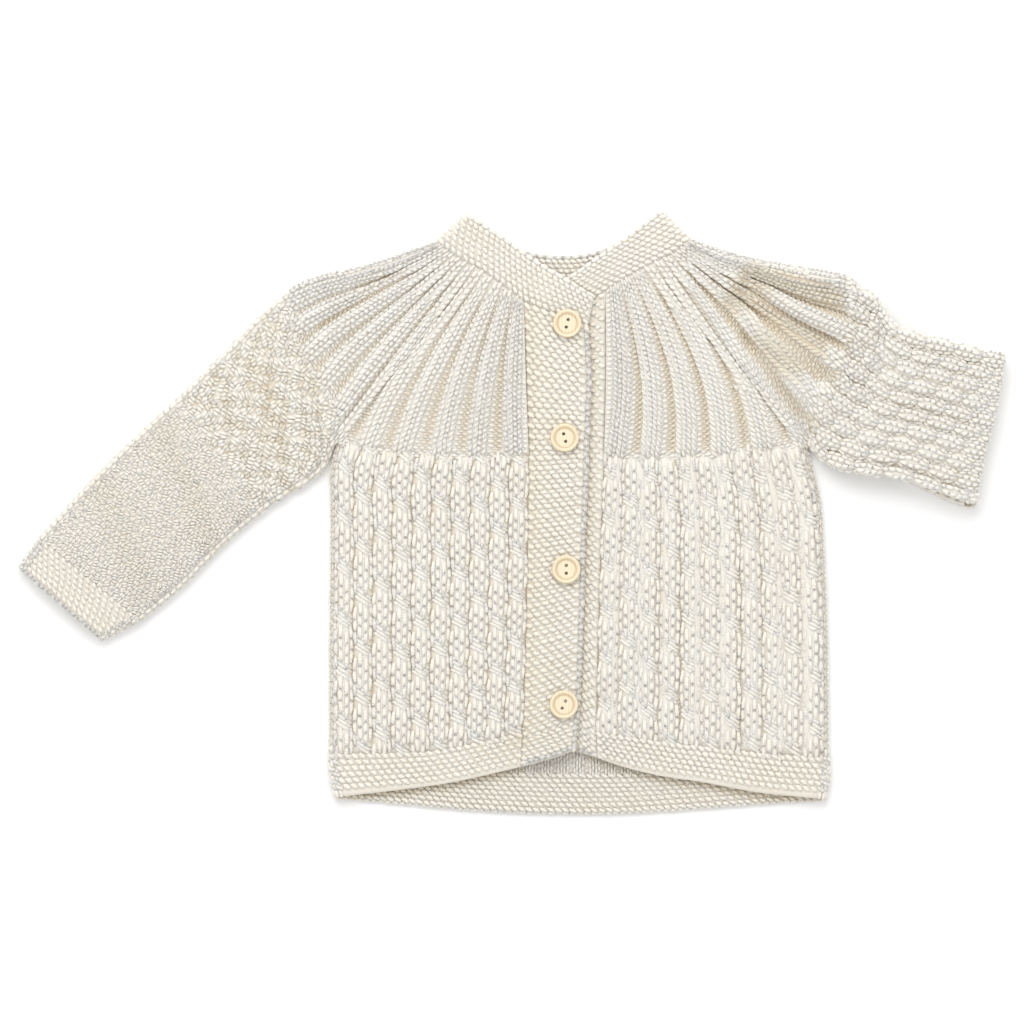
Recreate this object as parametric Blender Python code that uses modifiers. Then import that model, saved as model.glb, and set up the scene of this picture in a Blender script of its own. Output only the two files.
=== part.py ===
"""A hand-knitted baby cardigan, buttoned and laid flat on its back.

Sides are the wearer's: the right front and sleeve lie at -X, the left ones at +X. +Y points to the
neck and +Z up from the surface that the garment lies on. Lengths in the tables are in millimetres.
The garment is two layers of cloth, the back and the fronts, joined by rounded edges. The left
forearm is folded under the sleeve.
"""

from math import acos, cos, pi, radians, sin

import bmesh
import bpy
import numpy as np
from mathutils import Matrix

MM = 0.001

# ---------------------------------------------------------------- driving sizes, in millimetres

CLOTH = 2.4  # thickness of the knitted cloth
SEAM = 0.3  # gap between pieces that are sewn or knitted together
LAYER_GAP = 1.2  # gap between the back and the fronts
FOLD_GAP = 0.8  # gap between the layers of the folded sleeve
SLEEVE_PUFF = 1.2  # how far the upper layer of the right sleeve stands up in its middle
SLEEVE_CROWN = 0.8  # the same on the left sleeve

BACK_Z = CLOTH / 2  # mid-height of the layer that lies on the surface
FRONT_Z = BACK_Z + CLOTH + LAYER_GAP
OVER_Z = FRONT_Z + CLOTH + SEAM  # the buttonhole band, over the button band

FOREARM_TOP_Z = BACK_Z + CLOTH + FOLD_GAP  # upper layer of the forearm that is folded under
SLEEVE_BACK_Z = FOREARM_TOP_Z + CLOTH + FOLD_GAP  # lower layer of the sleeve, on the forearm
SLEEVE_TOP_Z = SLEEVE_BACK_Z + CLOTH + LAYER_GAP  # the layer of the folded sleeve that shows
CAP_Z = SLEEVE_TOP_Z + 2.0  # the puffed cap, where the yoke meets the folded sleeve
CAP_END_SHARE = 0.34  # where the cap has sunk to the folded sleeve, as a share of the way to the fold
CREASE_SHARE = 0.27  # where a crease crosses the folded sleeve
CREASE = 1.0  # its depth
CREASE_WIDTH_SHARE = 0.06  # half its width
FOREARM_SHOWS = 2.4  # how far the forearm sticks out past the lower edge of the sleeve, at the fold
CUFF_END_SHARE = 0.36  # where the hidden cuff ends
CUFF_SEAM_SHARE = 0.62  # where it meets the hidden forearm
HIDDEN_GAP = 1.3  # between the hidden layers' solid and the layers that it continues

RIB_RELIEF = 0.35  # how far a rib of the yoke stands above its mid-height
CAP_RELIEF = 1.3  # the same in the deep pleats of the left cap

# Where the left yoke climbs to the cap: shares of the way from the neck to the yoke's end, where
# the climb starts and how long it is, and of the way from the underarm to the shoulder.
CAP_CLIMB_START = 0.35
CAP_CLIMB = 0.55
CAP_SIDE = 0.35
# The same where the back climbs onto the folded forearm.
FOREARM_CLIMB_START = 0.6
FOREARM_CLIMB = 0.4
FOREARM_SIDE_START = 0.05
FOREARM_SIDE = 0.35

DOME_SHARE = 0.3  # how much of a sleeve's width its upper layer takes to rise to its full height
CROWN_END_SHARE = 0.25  # how much of its length it takes to sink to the fold

EDGE = CLOTH / 2  # from the middle of the cloth to its outside
ROLL_STEPS = 3  # corners of a quarter turn, where two layers join at an edge
CORNER = 1 / cos(pi / 4 / ROLL_STEPS)  # how much further out than the round edge its corners lie
MOST_SKEW = 0.4  # least cosine between a seam's square and the cloth's columns, where it is trimmed

# Rounded edges of the solid that stands for the hidden layers of the left sleeve.
LOBE_POINTS = 6  # rows up the forearm's edge
LOBE_TURN = 0.84 * pi  # how far round that edge turns, before the groove under the sleeve's edge
UPPER_TURNS = (0.25, 0.9)  # the turns of the rows on the sleeve's edge, from its lowest point
TOP_STEPS = 3  # steps in over the top
TOP_INSET = 0.6  # how far inside the turn line the top starts
END_INSET = 0.4  # how far in each of these steps lies at the end towards the cuff

# From an outline to the line where its layers start to turn to each other.
TURN = (FRONT_Z - BACK_Z) / 2 + EDGE
CAP_TURN = (CAP_Z - SLEEVE_BACK_Z) / 2 + EDGE
SIDE_TURN = (SLEEVE_TOP_Z - SLEEVE_BACK_Z) / 2 + EDGE
FOLD_TURN = (SLEEVE_TOP_Z - BACK_Z) / 2 + EDGE

BUTTON_RADIUS = 7.2
BUTTON_THICKNESS = 2.6
BUTTON_RIM = 1.7  # width of the raised rim
BUTTON_DISH = 0.7  # depth of the dished middle
BUTTON_FOOT = 1.9  # how far inside the edge its flat underside starts
BUTTON_HOLE_RADIUS = 0.85
BUTTON_HOLE_APART = 3.9
BUTTON_HOLE_SIDES = 12
BUTTON_SIDES = 28

SHARP = 50.0  # edges sharper than this many degrees are shaded sharp

# ---------------------------------------------------------------- outline tables: x, y

# Neck. The neckband's outer edge is where the yoke hangs from it.
SHOULDER_END_RIGHT = (-38.5, 135.2)
SHOULDER_END_LEFT = (90.5, 136.2)
NECK_RIGHT = [(6.5, 104.9), (-5.5, 114.2), (-15.0, 120.7), (-25.0, 125.9), SHOULDER_END_RIGHT]
NECK_LEFT = [(47.5, 110.8), (60.5, 118.8), (72.0, 124.8), (81.5, 129.5), SHOULDER_END_LEFT]
NECK_BACK = [
    SHOULDER_END_RIGHT,
    (-28.0, 124.7),
    (-13.0, 115.2),
    (4.5, 110.2),
    (27.0, 108.7),
    (49.5, 111.2),
    (67.0, 118.5),
    (78.5, 126.7),
    SHOULDER_END_LEFT,
]

# Shoulders, from the neck to the end of the yoke.
SHOULDER_POINT_RIGHT = (-110.8, 110.6)
SHOULDER_POINT_LEFT = (167.0, 116.0)
UNDERARM_RIGHT = (-87.0, 37.0)
UNDERARM_LEFT = (148.0, 35.5)
SHOULDER_RIGHT = [
    SHOULDER_END_RIGHT,
    (-55.5, 128.4),
    (-70.5, 123.6),
    (-85.5, 119.6),
    (-99.0, 115.9),
    SHOULDER_POINT_RIGHT,
]
SHOULDER_LEFT = [SHOULDER_END_LEFT, (111.5, 127.8), (116.5, 126.5), (147.0, 120.2), SHOULDER_POINT_LEFT]

# Where the yoke ends on a sleeve, from the underarm up to the shoulder.
ARMHOLE_RIGHT = [
    UNDERARM_RIGHT,
    (-86.5, 48.2),
    (-91.0, 59.7),
    (-98.5, 70.7),
    (-105.0, 82.2),
    (-108.5, 95.7),
    SHOULDER_POINT_RIGHT,
]
ARMHOLE_LEFT = [
    UNDERARM_LEFT,
    (146.5, 46.0),
    (151.5, 59.5),
    (160.5, 74.0),
    (166.5, 90.0),
    (168.0, 103.0),
    SHOULDER_POINT_LEFT,
]

# Where the yoke ends on the body, from the band to the underarm, and across the back.
WAIST_RIGHT = [(9.0, 28.0), (-5.5, 27.8), (-30.5, 28.5), (-55.5, 30.2), (-74.0, 33.0), UNDERARM_RIGHT]
WAIST_LEFT = [(46.5, 28.0), (69.5, 27.8), (94.5, 28.8), (119.5, 30.8), (139.5, 33.8), UNDERARM_LEFT]
WAIST_BACK = [
    UNDERARM_RIGHT,
    (-56.0, 30.5),
    (-12.0, 27.5),
    (31.0, 26.5),
    (75.0, 27.5),
    (118.0, 30.5),
    UNDERARM_LEFT,
]

# Sides of the body, from the underarm to the hem's top and on to its lower edge.
SIDE_RIGHT = [
    UNDERARM_RIGHT,
    (-89.6, 27.5),
    (-91.2, 18.5),
    (-91.0, 6.0),
    (-91.0, -14.3),
    (-91.5, -64.3),
    (-91.5, -120.7),
]
SIDE_LEFT = [
    UNDERARM_LEFT,
    (150.5, 25.7),
    (155.0, 8.3),
    (157.5, -24.3),
    (159.0, -64.3),
    (159.5, -122.7),
]
HEM_SIDE_RIGHT = [(-91.5, -120.7), (-91.2, -131.7), (-88.5, -143.0)]
HEM_SIDE_LEFT = [(159.5, -122.7), (160.0, -131.7), (158.0, -143.9)]

# Top and lower edges of the hems, from the band to the side.
HEM_TOP_RIGHT = [(6.0, -110.2), (-15.5, -115.2), (-35.5, -119.2), (-65.5, -120.7), (-91.5, -120.7)]
HEM_EDGE_RIGHT = [(5.0, -127.7), (-5.5, -130.2), (-30.5, -135.7), (-55.5, -139.2), (-88.5, -143.0)]
HEM_TOP_LEFT = [(42.5, -110.7), (54.5, -112.2), (94.5, -117.2), (144.5, -122.0), (159.5, -122.7)]
HEM_EDGE_LEFT = [
    (43.0, -123.2),
    (54.5, -127.2),
    (74.5, -132.2),
    (94.5, -135.2),
    (124.5, -140.7),
    (158.0, -143.9),
]
HEM_TOP_BACK = [
    (-91.5, -120.7),
    (-55.5, -126.7),
    (-5.5, -130.2),
    (27.0, -131.2),
    (94.5, -129.2),
    (159.5, -122.7),
]
HEM_EDGE_BACK = [
    (-88.5, -143.0),
    (-55.5, -145.7),
    (-30.5, -148.2),
    (-5.5, -149.9),
    (24.5, -150.9),
    (54.5, -150.7),
    (94.5, -148.2),
    (124.5, -145.9),
    (158.0, -143.9),
]

# Bands. The upper one is sewn to the right front, the lower one to the left front.
OVER_BAND_SEWN = [
    (6.5, 104.9),
    (7.5, 65.7),
    (9.0, 28.0),
    (8.5, -14.3),
    (7.5, -64.3),
    (6.0, -110.2),
    (5.0, -127.7),
]
OVER_BAND_FREE = [
    (38.5, 93.2),
    (39.5, 80.7),
    (38.7, 30.7),
    (37.0, -14.3),
    (35.5, -64.3),
    (34.0, -99.3),
    (32.0, -119.2),
]
OVER_BAND_TOP = [(6.5, 104.9), (14.5, 101.7), (24.5, 98.2), (38.5, 93.2)]
OVER_BAND_FOOT = [(5.0, -127.7), (14.5, -125.2), (24.5, -122.2), (32.0, -119.2)]
OVER_BAND_RISE = [0.0, 0.5, 1.0, 1.0, 1.0, 1.0, 1.0]  # from the sewn edge to the free edge
UNDER_BAND_FREE = [(25.0, 96.9), (24.5, 30.0), (23.5, -60.0), (22.5, -117.7)]
UNDER_BAND_SEWN = [
    (47.5, 110.8),
    (47.5, 65.7),
    (46.5, 28.0),
    (44.5, -24.3),
    (43.0, -84.3),
    (42.5, -110.7),
    (43.0, -123.2),
]
UNDER_BAND_TOP = [(25.0, 96.9), (28.5, 98.0), (39.5, 105.0), (47.5, 110.8)]
UNDER_BAND_FOOT = [(22.5, -117.7), (32.0, -119.9), (43.0, -123.2)]

# Upper edge of the neckband, in five parts from the right front's end to the left front's end.
NECKBAND_FOLD_RIGHT = (-23.0, 149.2)
NECKBAND_FOLD_LEFT = (76.0, 151.0)
NECKBAND_OVER = [(41.5, 107.7), (32.0, 113.2), (22.5, 119.2), (14.5, 124.2)]
NECKBAND_RIGHT = [(14.5, 124.2), (2.5, 132.2), (-5.5, 138.2), (-13.5, 143.5), NECKBAND_FOLD_RIGHT]
NECKBAND_BACK = [
    NECKBAND_FOLD_RIGHT,
    (-13.5, 141.2),
    (-3.0, 134.2),
    (9.5, 129.2),
    (27.0, 127.5),
    (44.5, 130.0),
    (58.5, 137.2),
    (67.5, 143.2),
    NECKBAND_FOLD_LEFT,
]
NECKBAND_LEFT = [NECKBAND_FOLD_LEFT, (67.5, 144.7), (59.5, 138.2), (51.5, 132.7), (41.0, 125.5)]
NECKBAND_UNDER = [(41.0, 125.5), (34.5, 120.7), (25.5, 115.2)]

# The right sleeve, from the yoke to the cuff, and the cuff.
SLEEVE_RIGHT_UPPER = [
    SHOULDER_POINT_RIGHT,
    (-123.0, 100.7),
    (-135.5, 88.2),
    (-155.5, 68.2),
    (-205.5, 20.7),
    (-236.5, -12.7),
]
SLEEVE_RIGHT_LOWER = [
    UNDERARM_RIGHT,
    (-90.2, 28.5),
    (-93.0, 21.3),
    (-98.5, 16.2),
    (-115.5, 5.7),
    (-140.5, -14.3),
    (-165.5, -39.3),
    (-184.5, -54.7),
]
CUFF_RIGHT_SEAM = [(-184.5, -54.7), (-210.5, -34.0), (-236.5, -12.7)]
CUFF_RIGHT_UPPER = [(-236.5, -12.7), (-246.5, -27.2)]
CUFF_RIGHT_LOWER = [(-184.5, -54.7), (-204.0, -64.7)]
CUFF_RIGHT_END = [(-204.0, -64.7), (-225.5, -46.0), (-246.5, -27.2)]

# The left sleeve that shows, from the yoke to the fold.
SLEEVE_LEFT_UPPER = [
    SHOULDER_POINT_LEFT,
    (180.0, 109.7),
    (187.0, 102.7),
    (190.5, 95.7),
    (200.0, 90.7),
    (218.0, 86.2),
    (247.8, 78.8),
]
SLEEVE_LEFT_LOWER = [
    UNDERARM_LEFT,
    (151.3, 29.5),
    (155.0, 24.8),
    (161.0, 21.6),
    (170.5, 18.7),
    (194.5, 15.2),
    (218.0, 7.2),
    (233.0, 2.5),
]
SLEEVE_LEFT_FOLD = [(233.0, 2.5), (237.5, 28.2), (243.0, 49.7), (247.8, 78.8)]

BUTTONS = [  # x, y of the centre, and the turn of its two holes in degrees
    ("button_1", 28.1, 94.0, 75.0),
    ("button_2", 26.8, 36.9, 106.0),
    ("button_3", 27.6, -28.9, 90.0),
    ("button_4", 26.4, -96.4, 65.0),
]

# Columns across and rows along each piece of cloth.
PANEL_COLUMNS = 10  # on each front and on each layer of a sleeve, two to a rib of the yoke
BACK_COLUMNS = 10
YOKE_COLUMNS = 2 * PANEL_COLUMNS + 2  # the front's and the sleeve's, and one on each side of the underarm
YOKE_BACK_COLUMNS = BACK_COLUMNS + 2 * PANEL_COLUMNS + 4
YOKE_ROWS = 6
BODY_ROWS = 6
HEM_ROWS = 2
SLEEVE_ROWS = 8
CUFF_ROWS = 2
UNDER_BAND_COLUMNS = 4

WOOL = ("ivory_wool", (0.86, 0.83, 0.75), 0.9)
WOOD = ("pale_wood", (0.86, 0.72, 0.48), 0.5)


# ---------------------------------------------------------------- curves and patches in plan


def unit(vectors):
    return vectors / np.maximum(np.linalg.norm(vectors, axis=-1, keepdims=True), 1e-9)


def curve(points, steps):
    """Evenly spaced points of a smooth curve through the points of a table."""
    points = np.array(points, float)
    chord = np.concatenate([[0], np.cumsum(np.linalg.norm(np.diff(points, axis=0), axis=1))])
    tangent = np.gradient(points, chord, axis=0)
    fine = np.linspace(0, chord[-1], 60 * len(points))
    k = np.clip(np.searchsorted(chord, fine, side="right") - 1, 0, len(points) - 2)
    span = (chord[k + 1] - chord[k])[:, None]
    t = ((fine - chord[k]) / span[:, 0])[:, None]
    line = (
        (2 * t**3 - 3 * t**2 + 1) * points[k]
        + (t**3 - 2 * t**2 + t) * span * tangent[k]
        + (3 * t**2 - 2 * t**3) * points[k + 1]
        + (t**3 - t**2) * span * tangent[k + 1]
    )
    run = np.concatenate([[0], np.cumsum(np.linalg.norm(np.diff(line, axis=0), axis=1))])
    even = np.linspace(0, run[-1], steps + 1)
    return np.stack([np.interp(even, run, line[:, axis]) for axis in (0, 1)], axis=1)


def halved(line):
    """The line with a point added in the middle of each chord."""
    middles = (line[:-1] + line[1:]) / 2
    return np.concatenate([np.stack([line[:-1], middles], axis=1).reshape(-1, 2), line[-1:]])


def joined(*lines):
    """One line from lines that each start where the one before ends."""
    return np.concatenate([lines[0]] + [line[1:] for line in lines[1:]])


def seam(table, steps, first=0.0, last=0.0):
    """The line that two pieces share, and the directions out of its first and last point.

    It stops short of an outline by the distances first and last, where the layers start to turn.
    """
    points = np.array(table, float)
    first_out, last_out = unit(points[0] - points[1]), unit(points[-1] - points[-2])
    points[0] -= first_out * first
    points[-1] -= last_out * last
    return curve(points, steps), first_out, last_out


def normals(line, towards):
    """Unit normals of a line in plan, on the side where the points of towards lie."""
    along = unit(np.gradient(line, axis=0))
    across = np.stack([-along[:, 1], along[:, 0]], axis=1)
    side = np.sign(((towards - line) * across).sum())
    return across * side


def turn_line(table, rows, turn, start, end):
    """Where the layers start to turn at an outline, and the directions in which they turn.

    start and end are the seams that meet the outline, each as its nearest point and the direction
    out of it. The layers turn along a seam where it ends.
    """
    line = curve(table, rows)
    inside = np.linspace(start[0] - start[1] * TURN, end[0] - end[1] * TURN, rows + 1)
    outward = -normals(line, inside)
    line = line - outward * np.reshape(turn, (-1, 1))
    (line[0], outward[0]), (line[-1], outward[-1]) = start, end
    return line, outward


def patch(near, far, first, last):
    """A grid in plan between four lines: near and far are rows of it, first and last are columns."""
    rows, columns = len(first), len(near)
    v = np.linspace(0, 1, rows)[:, None, None]
    u = np.linspace(0, 1, columns)[None, :, None]
    ruled = (1 - v) * near[None] + v * far[None]
    other = (1 - u) * first[:, None] + u * last[:, None]
    corners = (1 - v) * ((1 - u) * near[0] + u * near[-1]) + v * ((1 - u) * far[0] + u * far[-1])
    return ruled + other - corners


def trimmed(grid, sides, amount=SEAM / 2):
    """The grid with its edge moved inwards on each named side, square to that edge."""
    grid = grid.copy()
    for side in sides:
        edge, inner = {
            "near": (np.s_[0], np.s_[1]),
            "far": (np.s_[-1], np.s_[-2]),
            "first": (np.s_[:, 0], np.s_[:, 1]),
            "last": (np.s_[:, -1], np.s_[:, -2]),
        }[side]
        inward = unit(grid[inner] - grid[edge])
        square = np.abs((inward * normals(grid[edge], grid[inner])).sum(axis=1))
        grid[edge] += inward * (amount / np.maximum(square, MOST_SKEW))[:, None]
    return grid


def smooth(x):
    """0 below 0, 1 above 1, and a soft step between."""
    x = np.clip(x, 0, 1)
    return x * x * (3 - 2 * x)


def dome(share):
    """0 on both sides of a sleeve and 1 in between."""
    return smooth(share / DOME_SHARE) * smooth((1 - share) / DOME_SHARE)


# ---------------------------------------------------------------- shared lines

UNDER = TURN + SEAM / 2  # the layers of the body and of a sleeve turn next to each other at the underarm

NECK = {
    "right": seam(NECK_RIGHT, PANEL_COLUMNS + 1, last=TURN),
    "left": seam(NECK_LEFT, PANEL_COLUMNS + 1, last=TURN),
    "back": seam(NECK_BACK, YOKE_BACK_COLUMNS // 2, first=TURN, last=TURN),
}
WAIST = {
    "right": seam(WAIST_RIGHT, PANEL_COLUMNS, last=UNDER),
    "left": seam(WAIST_LEFT, PANEL_COLUMNS, last=UNDER),
    "back": seam(WAIST_BACK, BACK_COLUMNS, first=UNDER, last=UNDER),
}
ARMHOLE = {
    "right": seam(ARMHOLE_RIGHT, PANEL_COLUMNS, first=UNDER, last=TURN),
    "left": seam(ARMHOLE_LEFT, PANEL_COLUMNS, first=UNDER, last=CAP_TURN),
}
HEM_TOP = {
    "right": seam(HEM_TOP_RIGHT, PANEL_COLUMNS, last=TURN),
    "left": seam(HEM_TOP_LEFT, PANEL_COLUMNS, last=TURN),
    "back": seam(HEM_TOP_BACK, BACK_COLUMNS, first=TURN, last=TURN),
}
HEM_EDGE = {
    "right": seam(HEM_EDGE_RIGHT, PANEL_COLUMNS, last=TURN),
    "left": seam(HEM_EDGE_LEFT, PANEL_COLUMNS, last=TURN),
    "back": seam(HEM_EDGE_BACK, BACK_COLUMNS, first=TURN, last=TURN),
}
BAND_PARTS = {  # the sewn edge of each band along the yoke, the front and the hem
    side: (curve(table[:3], YOKE_ROWS), curve(table[2:6], BODY_ROWS), curve(table[5:], HEM_ROWS))
    for side, table in (("right", OVER_BAND_SEWN), ("left", UNDER_BAND_SEWN))
}
SHOULDER = {"right": SHOULDER_RIGHT, "left": SHOULDER_LEFT}
UNDERARM = {"right": np.array([UNDERARM_RIGHT]), "left": np.array([UNDERARM_LEFT])}


def opening(line):
    """The first point of a seam and the direction out of it."""
    return line[0][0], line[1]


def close(line):
    """The last point of a seam and the direction out of it."""
    return line[0][-1], line[2]


# ---------------------------------------------------------------- objects


def material(name, colour, roughness):
    made = bpy.data.materials.get(name) or bpy.data.materials.new(name)
    made.use_nodes = True
    shader = made.node_tree.nodes["Principled BSDF"]
    shader.inputs["Base Color"].default_value = (*colour, 1)
    shader.inputs["Roughness"].default_value = roughness
    shader.inputs["Metallic"].default_value = 0
    made.diffuse_color = (*colour, 1)
    return made


def add_mesh(name, points, faces, collection):
    """A wool object from points in millimetres, with all its faces turned outwards."""
    mesh = bpy.data.meshes.new(name)
    mesh.from_pydata([tuple(float(c) * MM for c in point) for point in points], [], faces)
    worked = bmesh.new()
    worked.from_mesh(mesh)
    bmesh.ops.recalc_face_normals(worked, faces=worked.faces)
    if worked.calc_volume(signed=True) < 0:
        bmesh.ops.reverse_faces(worked, faces=worked.faces)
    worked.to_mesh(mesh)
    worked.free()
    mesh.shade_smooth()
    mesh.set_sharp_from_angle(angle=radians(SHARP))
    mesh.materials.append(material(*WOOL))
    made = bpy.data.objects.new(name, mesh)
    collection.objects.link(made)
    return made


def wall(name, points, offsets, faces, collection):
    """A closed wall of cloth about an open surface that runs through its middle.

    Each point lies between one on either side of the cloth, in the direction of its offset.
    """
    points, offsets = np.array(points), np.array(offsets)
    count = len(points)
    sides = np.concatenate([points + offsets * EDGE, points - offsets * EDGE])
    uses = {}
    for face in faces:
        for a, b in zip(face, face[1:] + face[:1], strict=True):
            uses.setdefault((min(a, b), max(a, b)), []).append((a, b))
    rims = [found[0] for found in uses.values() if len(found) == 1]
    both = [tuple(count + i for i in face[::-1]) for face in faces]
    both += list(faces)
    both += [(b, a, count + a, count + b) for a, b in rims]
    return add_mesh(name, sides, both, collection)


def quarter_turn():
    """Corners of a quarter turn of radius 1, out and up, whose first facet is level and last one upright."""
    turns = (np.arange(ROLL_STEPS) + 0.5) * pi / 2 / ROLL_STEPS
    return [(sin(turn) * CORNER, cos(turn) * CORNER) for turn in turns]


def edge_rolls(edge, outward, partner):
    """Rings of points and offsets that turn the edge of a layer towards its partner layer.

    partner is the height of the other layer at each point of the edge. The last ring stops half a
    seam short of the middle of the roll.
    """
    radius = np.abs(edge[:, 2] - partner) / 2
    middle = (edge[:, 2] + partner) / 2
    up = np.sign(edge[:, 2] - partner)
    rings = []
    for out, high in quarter_turn():
        plan = edge[:, :2] + outward * (radius * out)[:, None]
        ring = np.column_stack([plan, middle + up * radius * high])
        rings.append((ring, np.column_stack([outward * (up * out)[:, None], np.full(len(edge), high)])))
    plan = edge[:, :2] + outward * radius[:, None]
    rim = np.column_stack([plan, middle + up * SEAM / 2])
    rings.append((rim, np.column_stack([outward * up[:, None], np.zeros(len(edge))])))
    return rings


def grid_faces(rows, columns, around=False):
    """Faces of a grid of points, which closes round its columns if around is set."""
    return [
        (
            r * columns + c,
            r * columns + (c + 1) % columns,
            (r + 1) * columns + (c + 1) % columns,
            (r + 1) * columns + c,
        )
        for r in range(rows - 1)
        for c in range(columns if around else columns - 1)
    ]


def cloth(name, plan, height, collection, rolls=()):
    """A piece of cloth on a grid: plan gives x and y, height the middle of the cloth.

    rolls holds (path, directions out, height of the other layer) for each edge that turns to the
    other layer. A path lists the (row, column) of its points.
    """
    grid = np.dstack([plan, np.broadcast_to(height, plan.shape[:2])])
    rows, columns = grid.shape[:2]
    points = list(grid.reshape(-1, 3))
    offsets = [np.array((0.0, 0.0, 1.0))] * len(points)
    faces = grid_faces(rows, columns)
    for path, outward, partner in rolls:
        before = [row * columns + column for row, column in path]
        edge = np.array([grid[at] for at in path])
        for ring, ring_offsets in edge_rolls(edge, outward, np.broadcast_to(partner, len(path))):
            after = list(range(len(points), len(points) + len(ring)))
            points += list(ring)
            offsets += list(ring_offsets)
            for k in range(len(ring) - 1):
                faces.append((before[k], before[k + 1], after[k + 1], after[k]))
            before = after
    return wall(name, points, offsets, faces, collection)


def down(rows, column):
    """The path down one column of a grid."""
    return [(row, column) for row in range(rows)]


def tube(name, plan, upper, lower, outward, collection):
    """A flattened tube of cloth, open at both ends, with rounded edges along the first and last columns.

    outward holds the directions in which it turns at its first and at its last column.
    """
    rows = plan.shape[0]
    top = np.dstack([plan, np.broadcast_to(upper, plan.shape[:2])])
    bottom = np.dstack([plan, np.broadcast_to(lower, plan.shape[:2])])
    level = np.zeros_like(top) + (0.0, 0.0, 1.0)
    corners = quarter_turn() + [(out, -high) for out, high in quarter_turn()[::-1]]
    sides = []
    for column, directions in ((-1, outward[1]), (0, outward[0])):
        radius = (top[:, column, 2] - bottom[:, column, 2]) / 2
        middle = (top[:, column, 2] + bottom[:, column, 2]) / 2
        around, away = [], []
        for out, high in corners:
            ring = plan[:, column] + directions * (radius * out)[:, None]
            around.append(np.column_stack([ring, middle + radius * high]))
            away.append(np.column_stack([directions * out, np.full(rows, high)]))
        sides.append((np.array(around).swapaxes(0, 1), np.array(away).swapaxes(0, 1)))
    rings = np.concatenate([top, sides[0][0], bottom[:, ::-1], sides[1][0][:, ::-1]], axis=1)
    offsets = np.concatenate([level, sides[0][1], -level, sides[1][1][:, ::-1]], axis=1)
    faces = grid_faces(rows, rings.shape[1], around=True)
    return wall(name, rings.reshape(-1, 3), offsets.reshape(-1, 3), faces, collection)


# ---------------------------------------------------------------- heights


def cap_rise(share_down, share_arm):
    """How far the layers of the left yoke have climbed towards the cap, from 0 to 1.

    share_down runs from the neck to the yoke's end, share_arm from the underarm to the shoulder.
    """
    return smooth((share_down - CAP_CLIMB_START) / CAP_CLIMB) * smooth(share_arm / CAP_SIDE)


def forearm_rise(share_down, share_arm):
    """How far the back layer has climbed onto the folded forearm, from 0 to 1."""
    down_part = smooth((share_down - FOREARM_CLIMB_START) / FOREARM_CLIMB)
    return down_part * smooth((share_arm - FOREARM_SIDE_START) / FOREARM_SIDE)


def front_height(rise):
    return FRONT_Z + (CAP_Z - FRONT_Z) * rise


def back_height(rise):
    return BACK_Z + (SLEEVE_BACK_Z - BACK_Z) * rise


def rib_relief(columns, rise=0.0):
    """Height of the ribs about the middle of the yoke, two columns to a rib, deeper in the cap."""
    ribs = np.cos(np.arange(columns) * pi)
    ribs[0] = ribs[-1] = 0
    return ribs * (RIB_RELIEF + (CAP_RELIEF - RIB_RELIEF) * rise)


# ---------------------------------------------------------------- the pieces


def yoke_fronts(collection):
    """The two front halves of the yoke, ribbed like a fan from the neckband."""
    rows, columns = YOKE_ROWS + 1, YOKE_COLUMNS + 1
    down_share = np.linspace(0, 1, rows)[:, None]
    arm_share = np.clip((np.arange(columns) - PANEL_COLUMNS - 2) / PANEL_COLUMNS, 0, 1)[None]
    for side in ("right", "left"):
        on_left = side == "left"
        rise = cap_rise(down_share, arm_share) * on_left
        puff = (1 - on_left) * SLEEVE_PUFF * dome(arm_share) * smooth(down_share)
        height = front_height(rise) + puff + rib_relief(columns, rise) * smooth(down_share * 2)
        back = back_height(forearm_rise(down_share[:, 0], 1.0) * on_left)
        near = halved(NECK[side][0])
        far = np.concatenate([WAIST[side][0], UNDERARM[side], ARMHOLE[side][0]])
        turn = (height[:, -1] - back) / 2 + EDGE
        last, outward = turn_line(SHOULDER[side], YOKE_ROWS, turn, close(NECK[side]), close(ARMHOLE[side]))
        plan = trimmed(patch(near, far, BAND_PARTS[side][0], last), ("near", "far", "first"))
        cloth("yoke_" + side, plan, height, collection, [(down(rows, columns - 1), outward, back)])


def yoke_back(collection):
    """The back half of the yoke, from one shoulder to the other."""
    rows, columns = YOKE_ROWS + 1, YOKE_BACK_COLUMNS + 1
    down_share = np.linspace(0, 1, rows)
    arm_share = np.clip((np.arange(columns) - (columns - 1 - PANEL_COLUMNS)) / PANEL_COLUMNS, 0, 1)
    height = back_height(forearm_rise(down_share[:, None], arm_share[None]))
    front = {"right": np.full(rows, FRONT_Z), "left": front_height(cap_rise(down_share, 1.0))}
    turn = {"right": TURN, "left": (front["left"] - height[:, -1]) / 2 + EDGE}
    first, first_out = turn_line(
        SHOULDER["right"], YOKE_ROWS, turn["right"], opening(NECK["back"]), close(ARMHOLE["right"])
    )
    last, last_out = turn_line(
        SHOULDER["left"], YOKE_ROWS, turn["left"], close(NECK["back"]), close(ARMHOLE["left"])
    )
    to_waist = (ARMHOLE["right"][0][::-1], UNDERARM["right"], WAIST["back"][0])
    far = np.concatenate([*to_waist, UNDERARM["left"], ARMHOLE["left"][0]])
    plan = trimmed(patch(halved(NECK["back"][0]), far, first, last), ("near", "far"))
    rolls = [
        (down(rows, 0), first_out, front["right"]),
        (down(rows, columns - 1), last_out, front["left"]),
    ]
    cloth("yoke_back", plan, height, collection, rolls)


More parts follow.
